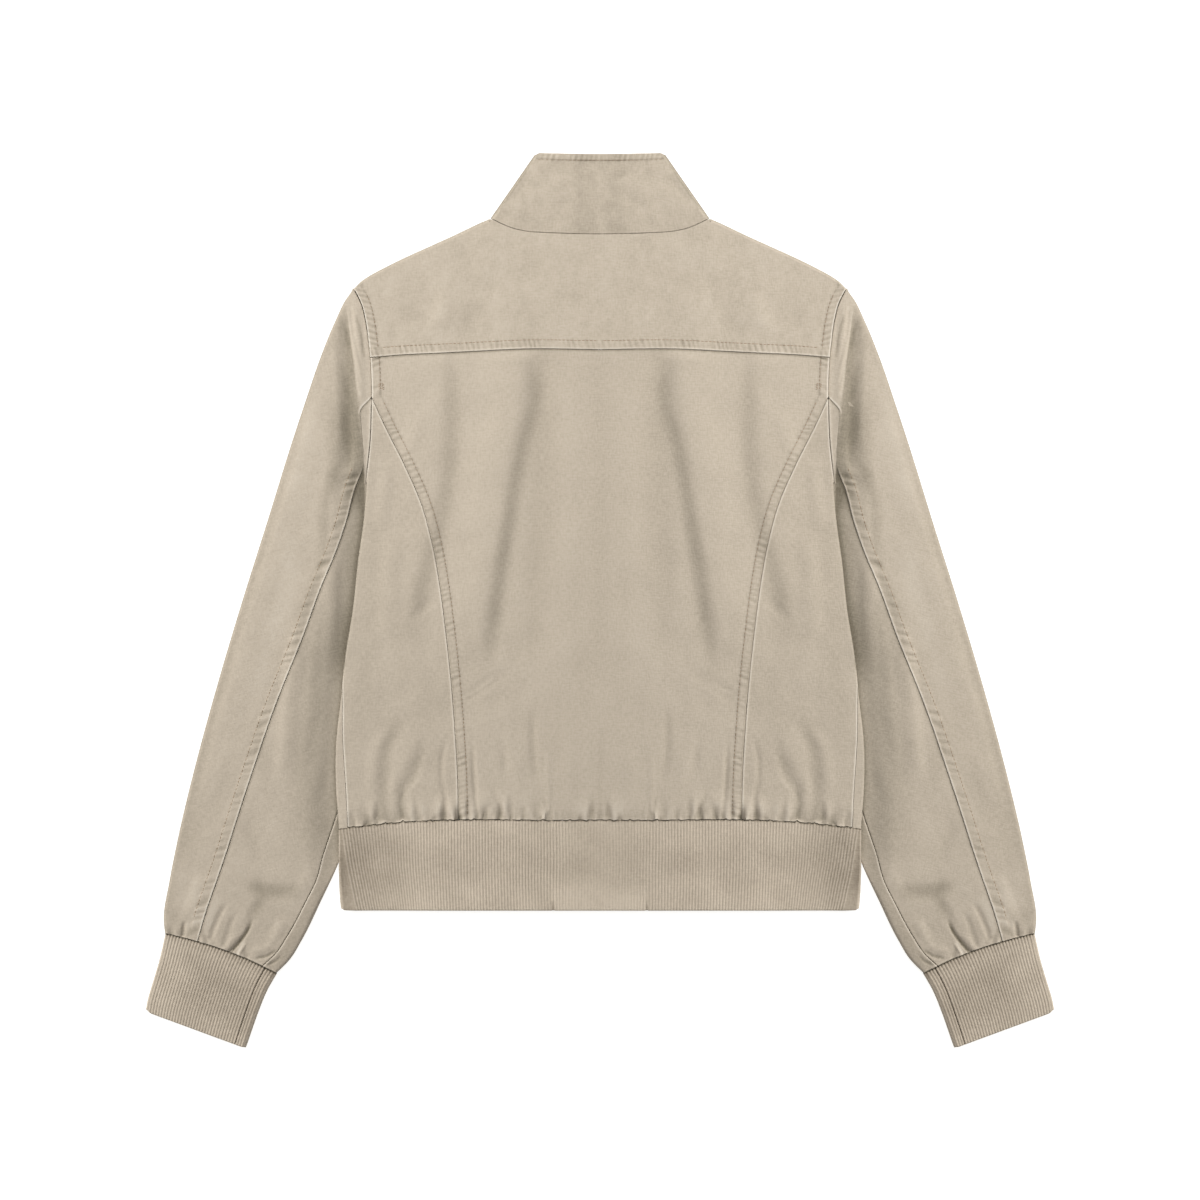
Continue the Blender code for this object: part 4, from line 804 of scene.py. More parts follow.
def round_side(rows, girth, wall=0.0):
    """Points at a way along the cloth from the fold's middle, minus towards the top layer.

    On the fold they lie on a half circle, and beyond it on the top or the under layer.
    """
    radius, half, flat = (rows[key][:, None] for key in ("radius", "half", "flat"))
    quarter = np.pi * radius / 2
    turn = np.clip(girth, -quarter, quarter) / radius
    x_flat = np.where(girth < 0, flat + girth + quarter, flat - girth + quarter)
    fold = np.abs(girth) < quarter
    x = np.where(fold, half - radius + (radius - wall) * np.cos(turn), x_flat)
    y = rows["y_of"](np.where(fold, half, x))
    z_fold = rows["low"][:, None] + radius - (radius - wall) * np.sin(turn)
    z_flat = np.where(girth < 0, rows["top"](x, y) - wall, body_lift(x, y) + wall)
    return x, y, np.where(fold, z_fold, z_flat)


def side_rows(upper_y, drop):
    """Rows above the underarm, whose edge curls down as the fold begins, then the sections."""
    lower = body_rows(drop)
    edge = seam_edge("back armhole", upper_y, -1)
    radius = 0.02 + (lower["radius"][0] - 0.02) * smooth((UNDERARM_Y + 15 - upper_y) / 15)
    high = body_height(edge - radius, upper_y)
    half = np.r_[edge, lower["half"]]
    all_radius = np.r_[radius, lower["radius"]]
    count = len(upper_y)

    def y_of(x):
        """Place of every point: level above the underarm, bent to the hem seam below it."""
        level = np.broadcast_to(upper_y[:, None], x[:count].shape)
        return np.concatenate([level, drop_y(x[count:], drop[:, None])])

    return {"half": half, "radius": all_radius, "flat": half - all_radius, "y_of": y_of,
            "low": np.r_[high - 2 * radius, lower["low"]], "top": body_height}


def make_back_side(side, mirrored):
    """A side panel: top layer and fold by girth, from the curved seam to the side seam."""
    upper_y = spread(CORNER_Y - 1.6, UNDERARM_Y + 0.3, [0.0], -EDGE[:2], 44)[0]
    upper_y = np.sort(upper_y)[::-1]
    drop = spread(0, 1, [0.0], EDGE / UNDERARM_TO_HEM, 186)[0]
    rows = side_rows(upper_y, drop)
    count = len(upper_y)
    edge_x = np.full(rows["half"].shape, 140.0)
    for _ in range(12):
        edge_y = rows["y_of"](edge_x[:, None])[:, 0]
        edge_x = seam_edge("princess", edge_y, 1)
    first = edge_x - rows["flat"] - np.pi * rows["radius"] / 2
    seam_y = rows["y_of"](rows["half"][:, None])[:, 0]
    last = np.where(np.arange(len(first)) < count, 0.0, line["side seam"](seam_y) - HALF_SEAM)
    turn = np.minimum(0.0, last - 5.0)
    turn[:count] = 0.0
    before = spread(first, turn, EDGE, EDGE, 44)
    after = spread(turn, last, [0.0], EDGE, 16)[:, 1:]
    girth = np.concatenate([before, after], axis=1)
    x, y, z = round_side(rows, girth)
    keep = np.ones((len(girth) - 1, girth.shape[1] - 1), bool)
    keep[:count, before.shape[1] - 1:] = False
    seam = seam_side((x - edge_x[:, None]) / slant("princess", edge_y)[:, None],
                     run_length(edge_x, edge_y)[:, None], 0.9, dark=0.0)
    lip = np.where(np.arange(len(first)) < count, 0.9, 1.0)[:, None]
    end = seam_side(last[:, None] - girth, 0 * y, lip, dark=0.0)
    above = y - line["hem"](np.abs(x)) - HALF_SEAM
    hem = seam_side(above, x, 0.3, dark=2.4)
    lift = seam[0] + hem[0] + end[0]
    # Tone: painted shade along the folds, in the gathers' creases, in the hem seam's groove and
    # round the side fold; pale seam lips, rubbed and partly a painted highlight; a shade darker
    # overall
    tone = back_painted_shading(x, y, z) * (girth < 0) + seam[1] + end[1] + hem[1]
    tone = tone - 0.05 + gather_shade_and_wear(z, above) * (girth < -6)
    outer = stack(*round_side(rows, girth, -lift))
    outer[..., 1] += hem_jag(x) * np.exp(-above / 2.5) * (girth < -3)
    on_fold = np.abs(girth) < np.pi / 2 * rows["radius"][:, None] + 0.6
    shell("back_side_" + side, "back_panel_side_" + side, outer,
          stack(*round_side(rows, girth, CLOTH)), TWILL, tone, keep,
          ([count - 1, count], [before.shape[1] - 1]), mirrored=mirrored, painted_edge_shade=0.5 * on_fold)


for side, mirrored in SIDES:
    make_back_side(side, mirrored)

# %% [markdown]
# ## The fronts
#
# The fronts are hidden: they lie underneath, flat on the surface, and show only as a narrow strip
# beyond the side seam, where the front comes round the side fold. Each is one plain panel from the
# shoulder fold and the neckline to the hem.

# %% Front panels
# Columns of the shoulder's fold beside those of the flat panel
FOLD_COLUMNS = 6


def shoulder_fold(x, turn, wall=0.0):
    """Points of the shoulder's fold: a half circle that leans out across the shoulder line."""
    inside = np.minimum(x - NECK_CORNER[0] - 0.1, 0)
    x = np.clip(x, NECK_CORNER[0] + 0.1, SHOULDER_END + 0.5)
    slope = (line["shoulder"](x + 0.1) - line["shoulder"](x - 0.1)) / 0.2
    radius = BODY_TOP / 2
    angle = np.pi * (0.5 - turn)
    reach = (radius - wall) * np.cos(angle) - radius
    out = np.hypot(1, slope)
    return (x + inside - slope / out * reach, line["shoulder"](x) + 0.42 * inside + reach / out,
            radius + (radius - wall) * np.sin(angle))


def shoulder_turn(x):
    """How far the yoke reaches round the shoulder fold: not at the neck, nearly all from 14 mm."""
    return 0.94 * np.clip((x - NECK_CORNER[0]) / 14.4, 0, 1)


def make_front(side, mirrored):
    """A front: fold points at the shoulder, then level rows from its outer to its inner edge."""
    places = np.r_[90.8, np.linspace(92.6, SHOULDER_END, 30)]
    turns = shoulder_turn(places)[:, None] + 0.05
    turns = turns + (1 - turns) * np.linspace(0, 1, FOLD_COLUMNS + 1)[:-1]
    fold = shoulder_fold(places[:, None], turns)
    fold_in = shoulder_fold(places[:, None], turns, CLOTH)
    start = shoulder_fold(places, 1.0)
    middle_y = np.r_[np.arange(252, UNDERARM_Y + 2, -6.0), UNDERARM_Y + 0.3]
    drop = spread(0, 1, [0.0], EDGE / UNDERARM_TO_HEM, 54)[0]
    rows = side_rows(middle_y, drop)
    count = len(middle_y)
    low_half = line["side seam"](rows["y_of"](rows["half"][:, None])[:, 0]) + HALF_SEAM
    quarter = np.pi * rows["radius"] / 2
    first = np.where(np.arange(len(low_half)) < count, 0, low_half)
    last = quarter + rows["flat"] - HALF_SEAM
    near = spread(first, np.maximum(first + 6, quarter + 4), EDGE, [0.0], 14)
    rest = spread(near[:, -1], last, [0.0], EDGE, 34)[:, 1:]
    girth = np.concatenate([near, rest], axis=1)[count:]
    below = {key: rows[key][count:] for key in ("half", "radius", "flat", "low")}
    below.update(top=body_height, y_of=lambda x: drop_y(x, drop[:, None]))
    lower, lower_in = round_side(below, girth), round_side(below, girth, CLOTH)

    upper_y = np.r_[start[1], middle_y]
    first = np.r_[start[0], line["front armhole"](middle_y) - HALF_SEAM]
    last = np.where(upper_y > FRONT_NECK_Y, seam_edge("neckline", upper_y, 1), HALF_SEAM)
    near = spread(first, np.maximum(first - 6, (first + last) / 2), -EDGE, [0.0], 14)
    rest = spread(near[:, -1], last, [0.0], -EDGE, 34)[:, 1:]
    x = np.concatenate([near, rest], axis=1)
    y = np.broadcast_to(upper_y[:, None], x.shape)
    z = body_lift(x, y)

    def join(shoulder, z_upper, low_part):
        """All rows: shoulder fold and level upper rows, then the lower sections."""
        pad = [np.repeat(part[:, :1], FOLD_COLUMNS, axis=1) for part in (x, y, z)]
        head = [np.concatenate([part, hold[len(part):]]) for part, hold in zip(shoulder, pad)]
        upper = stack(*(np.concatenate([h, v], axis=1) for h, v in zip(head, (x, y, z_upper))))
        tail = stack(*low_part)
        tail = np.concatenate([np.repeat(tail[:, :1], FOLD_COLUMNS, axis=1), tail], axis=1)
        return np.concatenate([upper, tail])

    outer = join(fold, z, lower)
    inner = join(fold_in, z + CLOTH, lower_in)
    keep = np.ones((len(outer) - 1, outer.shape[1] - 1), bool)
    keep[len(places) - 1:, :FOLD_COLUMNS] = False
    # Painted shade where the front turns round the side and shoulder folds
    shell("front_" + side, "front_panel_" + side, outer, inner, TWILL, np.zeros(outer.shape[:2]),
          keep, ([len(places) - 1], [FOLD_COLUMNS]), 3, mirrored, painted_edge_shade=0.25)


for side, mirrored in SIDES:
    make_front(side, mirrored)

# %% [markdown]
# ## The yoke
#
# The yoke lies across both shoulders. It is topstitched along the yoke seam and the armholes, and
# rolls over the shoulder fold to meet the fronts beneath. The rows of its grid fan out from the
# yoke seam to the neck and the shoulder line, and the last ones bend along the armholes.

# %% Yoke
def make_back_yoke():
    """The yoke: columns go from the yoke seam up to the neck, or over the shoulder's fold."""
    neck_share, edge_x = 0.44, line["back armhole"](202.0) - HALF_SEAM - 0.05
    arm = STITCHED_EDGE / edge_x
    share = spread(-1, 1, arm, arm, 250)[0]
    share = share[np.abs(np.abs(share) - neck_share) > 0.003]
    side, part = np.where(share < 0, -1, 1)[:, None], np.abs(share)[:, None]
    over_neck = part <= neck_share
    x_head = np.where(over_neck, part / neck_share * (NECK_CORNER[0] - 0.5),
                      NECK_CORNER[0] + (part - neck_share) / (1 - neck_share)
                      * (SHOULDER_END - NECK_CORNER[0]))
    foot_x = part * edge_x
    foot_y = line["yoke"](foot_x) + HALF_SEAM
    head = shoulder_fold(x_head, 0.0)
    head_x = np.where(over_neck, x_head, head[0])
    head_y = np.where(over_neck, line["neck"](x_head) - HALF_SEAM - 0.05, head[1])
    span = np.hypot(head_x - foot_x, head_y - foot_y)
    way = spread(0 * span[:, 0], span[:, 0], STITCHED_EDGE, EDGE, 46)
    x = foot_x + (head_x - foot_x) * way / span
    y = foot_y + (head_y - foot_y) * way / span
    straight = edge_x + (SHOULDER_END - 1.5 - edge_x) * way / span
    curved = seam_edge("back armhole", y, -1)
    x = x + (curved - straight) * part ** 3
    height = BODY_TOP + (body_height(x, y) - BODY_TOP) * smooth((span - way) / 12)
    seam = seam_side(way, side * x, 0.75, True, 31, dark=0.1)
    sleeve = seam_side((curved - x) / slant("back armhole", y), y, 1.2, True, 41, dark=0.0)
    neck = seam_side(np.where(over_neck, span - way, FAR), x, 0.0, dark=0.2)
    z = height + seam[0] + sleeve[0] + 0.5 * neck[0]
    turn = shoulder_turn(x_head) * np.linspace(0, 1, 10)[1:]
    fold, fold_in = shoulder_fold(x_head, turn), shoulder_fold(x_head, turn, CLOTH)
    # The last column runs straight round the fold, so that the yoke meets the sleeve's tip
    fold = (fold[0] + part ** 30 * (x_head - fold[0]), fold[1], fold[2])
    outer = np.concatenate([stack(side * x, y, z), stack(side * fold[0], fold[1], fold[2])], axis=1)
    inner = np.concatenate([stack(side * x, y, height - CLOTH),
                            stack(side * fold_in[0], fold_in[1], fold_in[2])], axis=1)
    keep = np.ones((len(share) - 1, outer.shape[1] - 1), bool)
    covered = over_neck[:-1, 0] | over_neck[1:, 0]
    keep[covered, x.shape[1] - 1:] = False
    ends = [i for i in np.flatnonzero(np.diff(covered.astype(int))) for i in (i, i + 1)]
    tone = np.zeros(outer.shape[:2])
    # Painted shade in the folds and seam grooves, pale seam lips that are rubbed and partly a
    # painted highlight, and a faint random mottle
    tone[:, :x.shape[1]] = painted_fold_shade(height, BODY_TOP) + seam[1] + sleeve[1] + neck[1]
    tone[:, :x.shape[1]] += 0.035 * ripple(side * x, y, 14, 64) + 0.03 * ripple(side * x, y, 40, 65)
    # Painted shade on the last columns, which turn round the shoulder fold
    painted_edge_shade = np.broadcast_to(np.arange(outer.shape[1]) > x.shape[1] - 3, tone.shape)
    shell("back_yoke", "yoke_panel", outer, inner, TWILL, tone, keep, (ends, [x.shape[1] - 1]),
          painted_edge_shade=0.3 * painted_edge_shade)


make_back_yoke()

# %% [markdown]
# ## The collar
#
# The collar is a doubled band that stands when the jacket is worn and lies flat here. Its back half
# shows, its ends turn round the two side folds, and its front half lies underneath. One line of
# stitches runs 5.5 mm below its free edge.

# %% Collar
def make_collar():
    """The band: stations go along it from one front end round to the other, levels across it."""
    low, high = np.array(NECK_CORNER), np.array(COLLAR_CORNER)
    across = high - low
    outward = np.array((across[1], -across[0])) / np.hypot(*across)
    level_out = np.array((1 / outward[0], 0))
    fold = BODY_TOP / 2
    near_free = [0, 0.25, 0.5, 0.9, 1.5, 2.4, 3.4, 4.4, 5, 5.5, 6, 7]
    level = spread(0, COLLAR_HEIGHT, EDGE, near_free, 30)[0] / COLLAR_HEIGHT
    crease = [([(76, 330), (66, 345), (62, 356)], 5, 6, -0.5, 8, 6),
              ([(22, 356), (12, 350), (4, 349)], 3, 4, -0.5, 6, 4),
              ([(40, 322), (30, 330), (20, 334)], 6, 7, -0.4, 8, 8),
              ([(0, 366), (0, 310)], 12, 12, -0.5, 8, 10)]

    def section(kind, share, wall):
        """Points of the stations of one kind, at all levels."""
        share = np.asarray(share, float)[:, None]
        if kind == "turn":
            edge = [low[i] + across[i] * (0.005 + 0.995 * level) for i in (0, 1)]
            angle = np.pi * (0.5 - share)
            reach = (fold - wall) * np.cos(angle) - fold
            out = [outward[i] + (level_out[i] - outward[i]) * level for i in (0, 1)]
            round_off = 1.0 * smooth((level - 0.97) / 0.03) * np.cos(angle)
            return stack(edge[0] + out[0] * reach - 0.5 * round_off,
                         edge[1] + out[1] * reach - round_off, fold + (fold - wall) * np.sin(angle))
        start = HALF_SEAM if kind == "front" else 0.0
        x_low = start + share * (low[0] - fold * outward[0] - start)
        x_high = start + share * (high[0] - fold * level_out[0] - start)
        if kind == "back":
            y_low = line["neck"](x_low) + HALF_SEAM + 0.05
            y_high = COLLAR_MIDDLE_Y + (high[1] - COLLAR_MIDDLE_Y) * share ** 2
        else:
            y_low = seam_edge("front neck", x_low, 1)
            y_high = FRONT_COLLAR_Y + (high[1] - FRONT_COLLAR_Y) * share
        x, y = x_low + (x_high - x_low) * level, y_low + (y_high - y_low) * level
        if kind == "front":
            return stack(x, y, wall + 0 * x)
        crown = 0.9 * np.sin(np.pi * level) + folds(x, y, crease) * smooth((1 - share) / 0.1)
        crown = crown + 0.12 * ripple(x, y, 24, 61) * smooth((1 - share) / 0.1) * smooth(x / 8)
        return stack(x, y, BODY_TOP + crown - wall)

    stations = np.r_[1, 0.985, np.linspace(0.965, 0, 66)]
    half = [("front", np.linspace(0, 0.985, 18)), ("turn", np.linspace(0.94, 0.06, 9)),
            ("back", stations)]

    def whole(wall):
        """All stations: the right half, then its mirror image."""
        right = np.concatenate([section(kind, share, wall) for kind, share in half])
        return np.concatenate([right, right[-2::-1] * (-1, 1, 1)])

    outer, inner = whole(0.0), whole(COLLAR_WALL)
    from_middle = np.abs(np.arange(len(outer)) - len(outer) // 2)[:, None]
    back = from_middle < len(stations)
    x, y = outer[..., 0], outer[..., 1]
    neck = seam_side(level * COLLAR_HEIGHT, x, 0.1, dark=0.1)
    free = seam_side((1 - level) * COLLAR_HEIGHT, x, 0.1, True, 51, COLLAR_BAND, 4.6, 0.08,
                     thread=0.36)
    # A little darker overall, painted shade near the middle crease and a faint random mottle;
    # painted shade in the folds and seam grooves is added below
    soft = -0.04 - 0.2 * bell((np.abs(x) - 13) / 14) + 0.045 * ripple(x, y, 14, 63)
    outer[..., 2] += (0.5 * neck[0] + free[0]) * back
    tone = (neck[1] + free[1] + soft) * back + painted_fold_shade(outer[..., 2], 6.7) * back
    # Painted shade where the collar turns round the side folds
    turned = from_middle >= len(stations) - 2
    shell("collar", "stand_collar", outer, inner, TWILL, tone, painted_edge_shade=0.6 * turned)


make_collar()

# %% [markdown]
# ## The sleeves
#
# A two-piece sleeve has a wide outer panel and a narrow under panel. Laid flat, the outer panel
# covers the outer side of the top layer, turns round the outer fold, makes the whole underside and
# comes up again round the inner fold. The long curved seam between them is topstitched. Each row of
# the grid is a section across the sleeve, and the sections turn to meet the slanting cuff seam.

# %% Sleeve sections
# Length above the cuff seam over which the sections bend to meet its rise
WRIST = 55.0


def sleeve_sections(y_outer):
    """Ends, folds and spans of the sections that start at places on the outer fold."""
    y = np.asarray(y_outer, float)
    way = np.clip((60 - y) / (60 - CUFF_SEAM_Y), 0, 1)
    y_inner = y - CUFF_SEAM_TILT * way ** 1.4
    above = y > UNDERARM_Y + 0.2
    outer = np.stack([line["sleeve outer"](y), y])
    inner = np.stack([line["sleeve inner"](y_inner), y_inner])
    top = np.stack([seam_edge("back armhole", y, 1), y])
    low = np.stack([seam_edge("front armhole", y, 1), y])
    top, low = np.where(above, top, inner), np.where(above, low, inner)
    length = np.hypot(*(top - outer))
    row = {"outer": outer, "top": top, "low": low, "length": length, "above": above,
           "toward": (top - outer) / length, "y": y,
           "rise": smooth((CUFF_SEAM_Y + WRIST - y) / WRIST),
           "lift": HALF_SEAM * smooth((CUFF_SEAM_Y + 3 - y) / 3)}
    fold, inner_fold = np.full(y.shape, 2.4), np.full(y.shape, 1.4)
    for _ in range(3):
        high = sleeve_height(outer[0] - fold, y)
        fold = np.minimum(high / 2, 0.35 * length)
        inner_high = sleeve_height(top[0] + inner_fold, top[1])
        inner_fold = np.where(above, 0.0, inner_high / 2)
    row.update(high=high, fold=fold, inner_high=inner_high, inner_fold=inner_fold)
    row["top_span"] = length - fold - inner_fold
    row["low_span"] = np.hypot(*(low - outer)) - fold - inner_fold
    return row


def on_section(row, distance, end):
    """Place at a distance from the outer fold on the way to an end, with the cuff seam's rise."""
    start, stop = row["outer"][:, :, None], row[end][:, :, None]
    span = np.hypot(*(stop - start))
    spot = start + (stop - start) * distance / span
    rise = line["cuff rise"](distance / span) * row["rise"][:, None] + row["lift"][:, None]
    return spot[0], spot[1] + rise


def sleeve_points(row, key, wall=0.0):
    """Points round the sections: key 0 to 1 on top, 1 to 2 round the outer fold, 2 to 3 beneath,
    3 to 4 round the inner fold, and from 4 on top again."""
    key = np.where(key >= 4, key - 4, key)
    fold, inner_fold, high, inner_high, length, top_span, low_span = (
        row[name][:, None] for name in ("fold", "inner_fold", "high", "inner_high", "length",
                                        "top_span", "low_span"))
    beneath = (key >= 2) & (key <= 3)
    outer_turn, inner_turn = (key > 1) & (key < 2), (key > 3) & (key < 4)
    x, y = on_section(row, fold + (1 - np.minimum(key, 1)) * top_span, "top")
    z = sleeve_height(x, y) - wall
    low_x, low_y = on_section(row, fold + np.clip(key - 2, 0, 1) * low_span, "low")
    x, y, z = np.where(beneath, low_x, x), np.where(beneath, low_y, y), np.where(beneath, wall, z)
    for turned, distance, tall, wide, turn, sign in (
            (outer_turn, 0 * key, high, fold, key - 1, -1),
            (inner_turn, length + 0 * key, inner_high, inner_fold, 4 - key, 1)):
        edge_x, edge_y = on_section(row, distance, "top")
        angle = np.pi * (0.5 - turn)
        part = 1 - wall / np.maximum(tall / 2, 1.3)
        reach = sign * wide * (part * np.cos(angle) - 1)
        x = np.where(turned, edge_x + row["toward"][0][:, None] * reach, x)
        y = np.where(turned, edge_y + row["toward"][1][:, None] * reach, y)
        z = np.where(turned, tall / 2 * (1 + part * np.sin(angle)), z)
    return x, y, z


def seam_key(row, name, side):
    """Key where a long seam crosses the top layer, half a seam to one side of it."""
    distance = row["length"] / 2
    for _ in range(14):
        _, y = on_section(row, distance[:, None], "top")
        distance = (seam_edge(name, y[:, 0], side) - row["outer"][0]) / row["toward"][0]
    return 1 - (distance - row["fold"]) / row["top_span"]


def inner_seam_key(row, side):
    """Key of the seam near the inner fold, half a seam to one side of it."""
    _, y = on_section(row, row["length"][:, None], "top")
    way = line["inner seam"](y[:, 0]) - row["inner_fold"] + side * HALF_SEAM
    return np.maximum(way, 0) / row["top_span"]


# Painted shade of the sleeve beside the body, by distance out from the body's edge, for three
# stretches
SHELTER_PLACES = (0, 1, 2.5, 4, 6, 9, 12.5, 16, 20, 27, 33, 45, 60)
SHELTER_HIGH = (1.5, 1.4, 1.2, 0.9, 0.72, 0.52, 0.38, 0.24, 0.14, 0.05, 0, 0, 0)
SHELTER_MIDDLE = (1.5, 1.5, 1.35, 1.2, 1, 0.84, 0.68, 0.46, 0.36, 0.32, 0.2, 0.06, 0)
SHELTER_LOW = (1.2, 0.85, 0.62, 0.5, 0.42, 0.38, 0.38, 0.38, 0.36, 0.3, 0.18, 0.06, 0)
# Edge of a painted dark wedge of shade by the body, below the corner of the elbow seam
PAINTED_WEDGE = curve([(46, 202), (60, 206), (69, 211), (84, 217)])


def beside_body_painted_shade(x, y):
    """Painted shade beside the body, in three stretches, with a painted wedge at the elbow."""
    away = x - line["shelter"](y)
    high, middle, low = (np.interp(away, SHELTER_PLACES, shades)
                         for shades in (SHELTER_HIGH, SHELTER_MIDDLE, SHELTER_LOW))
    lower = smooth((20 - y) / 54)
    deep = high + (middle - high) * lower
    deep = deep + (low - deep) * smooth((-40 - y) / 40)
    under = smooth((line["elbow"](y) - x) / 0.8 + 0.5)
    wedge = smooth((PAINTED_WEDGE(y) - x) / 3) * smooth((y - 30) / 30)
    deep = np.maximum(deep * (under + (1 - under) * smooth((100 - y) / 24)), 0.55 * wedge * under)
    deep = np.minimum(deep, 0.62 + 1.2 * smooth((94 - y) / 36))
    deep = deep * smooth((y + 235) / 50) * smooth((110 - y) / 9)
    return 0.05 * smooth((y + 60) / 80) - deep + folds(x, y, SLEEVE_PAINTED_SHADING)


# Painted shade in the deep fold beside the armhole: by distance out from its crisp inner edge
VALLEY_PLACES = (-0.4, 0.4, 2.5, 4, 6, 8, 10, 12, 14, 16, 18, 21, 24, 28, 33)
VALLEY_SHADES = [
    (250, (0,) * 15),
    (225, (0, 0.75, 0.7, 0.5, 0.3, 0.35, 0.2, 0.1, 0.05, 0, 0, 0, 0, 0, 0)),
    (200, (0, 0.85, 0.9, 0.85, 0.6, 0.35, 0.2, 0.1, 0.05, 0, 0, 0, 0, 0, 0)),
    (175, (0, 0.65, 0.9, 1.0, 1.05, 1.1, 0.9, 0.62, 0.34, 0.22, 0.12, 0.05, 0, 0, 0)),
    (150, (0, 0.7, 0.88, 1.0, 1.05, 1.1, 1.1, 1.1, 1.08, 0.9, 0.55, 0.42, 0.3, 0.1, 0)),
    (133, (0, 0.85, 0.95, 1.0, 1.05, 1.1, 1.12, 1.1, 1.0, 0.8, 0.6, 0.5, 0.4, 0.2, 0)),
    (108, (0, 0.95, 0.88, 0.82, 0.76, 0.75, 0.75, 0.7, 0.58, 0.46, 0.44, 0.44, 0.38, 0.2, 0)),
    (91, (0, 0.8, 0.8, 0.8, 0.8, 0.78, 0.72, 0.56, 0.5, 0.42, 0.24, 0.2, 0.22, 0.16, 0)),
    (72, (0,) * 15)]
VALLEY_EDGE = curve([(91, 196.2), (108, 196.5), (132, 197.5), (150, 198.9), (175, 202.3),
                     (200, 205.4), (225, 208.7), (250, 212)])


def valley_painted_shade(x, y):
    """Painted shade in the fold beside the armhole, read between the rows of the table."""
    away = x - VALLEY_EDGE(y)
    places, shades = zip(*VALLEY_SHADES[::-1])
    shade = 0 * away
    for i, row in enumerate(shades):
        share = np.interp(y, places, np.eye(len(places))[i])
        shade = shade + share * np.interp(away, VALLEY_PLACES, row)
    return -shade


def sleeve_tone(x, y, z):
    """Tone of the sleeve: painted shade in its folds away from the body's edge, and beside it."""
    folded = painted_fold_shade(z, SLEEVE_TOP) * smooth((x - line["shelter"](y) - 16) / 16)
    return folded + beside_body_painted_shade(x, y)


# %% Sleeve panels
# The sleeve's threads lean with it, in degrees
GRAIN = -14.0


def make_sleeve_outer(side, mirrored):
    """The outer panel, by keys from the elbow seam round to the inner seam."""
    upper = np.r_[259.5, 258.6, 257.2, 256, 254.5, np.arange(252.5, UNDERARM_Y + 1, -1.7),
                  UNDERARM_Y + 0.7]
    lower = spread(UNDERARM_Y + 0.1, CUFF_SEAM_Y, [0.0], -WRIST_EDGE, 190)[0]
    row = sleeve_sections(np.r_[upper, lower])
    count = len(upper)
    below_corner = row["y"] < CORNER_Y - 0.5
    first = np.maximum(np.where(below_corner, seam_key(row, "elbow", 1), 0.0), 0.0)
    span = row["top_span"][:, None]
    top = spread(first, 1, STITCHED_EDGE / span, np.array([[0, 1.2, 2.6]]) / span, 36)
    turns = np.broadcast_to(np.r_[np.linspace(1, 2, 10)[1:], np.linspace(2, 3, 15)[1:]],
                            (len(top), 23))
    last = 4 + inner_seam_key(row, -1)
    inner = np.concatenate([np.broadcast_to(np.linspace(3, 4, 8)[1:], (len(top), 7)),
                            spread(4, last, [0.0], EDGE / span, 9)[:, 1:]], axis=1)
    key = np.concatenate([top, turns, inner], axis=1)
    keep = np.ones((len(key) - 1, key.shape[1] - 1), bool)
    edge_col = top.shape[1] + turns.shape[1] - 1
    keep[:count, edge_col:] = False
    x, y, z = sleeve_points(row, key)
    elbow = (x - line["elbow"](y)) / slant("elbow", y) - HALF_SEAM
    arm = (x - line["back armhole"](y)) / slant("back armhole", y) - HALF_SEAM
    on_top = key <= 1
    long = seam_side(np.where(y < CORNER_Y, np.abs(elbow), FAR), y, 1.1, True, 71, ELBOW_BAND, 8.2,
                     0.13, dark=0.0)
    cap = seam_side(np.where(y > CORNER_Y - 8, np.abs(arm), FAR), y, -0.1, dark=0.25)
    cuff = seam_side(row["y"][:, None] - CUFF_SEAM_Y + 0 * y, x, 0.3, dark=2.2)
    low_end = smooth((-110 - y) / 60)
    end_gap = np.where(key >= 4, (last[:, None] - key) * span, FAR)
    end = seam_side(end_gap, y, 0.8 * low_end, dark=0.1)
    strip = -0.24 * (key > 3.9) * smooth((-175 - y) / 40)
    # The strip starts below the corner, where the under panel begins
    begin = smooth((112 - y) / 14)
    lift = (long[0] * begin + 0.6 * cap[0]) * on_top + cuff[0] + end[0]
    seen, beneath = on_top | (key >= 4), (key >= 2) & (key <= 3)
    outer = stack(x, y, z + np.where(beneath, np.maximum(-cuff[0], 0), lift * seen))
    # Tone: painted shade beside the body, along the folds, in the valley by the armhole and in the
    # seam grooves; pale seam lips, rubbed and partly a painted highlight; the strip by the inner
    # seam is darker towards the cuff, and the underside a little darker
    tone = np.where(seen, sleeve_tone(x, y, z), -0.1)
    tone = tone + (long[1] * begin + cap[1] + valley_painted_shade(x, y)) * on_top + cuff[1] + end[1] + strip
    # A pale line beside the elbow seam just below the corner, partly a painted highlight
    corner = smooth((y - 153) / 4) * smooth((CORNER_Y + 1 - y) / 2)
    tone = tone + 0.9 * corner * np.exp(-((np.abs(elbow) - 0.9) / 0.7) ** 2) * on_top
    # Painted shade where the panel turns round the outer fold
    shell("sleeve_top_" + side, "sleeve_outer_panel_" + side, outer,
          stack(*sleeve_points(row, key, CLOTH)), TWILL, tone, keep,
          ([count - 1, count], [edge_col]), mirrored=mirrored,
          painted_edge_shade=0.3 * ((key > 0.93) & (key < 2.2)), grain=GRAIN)


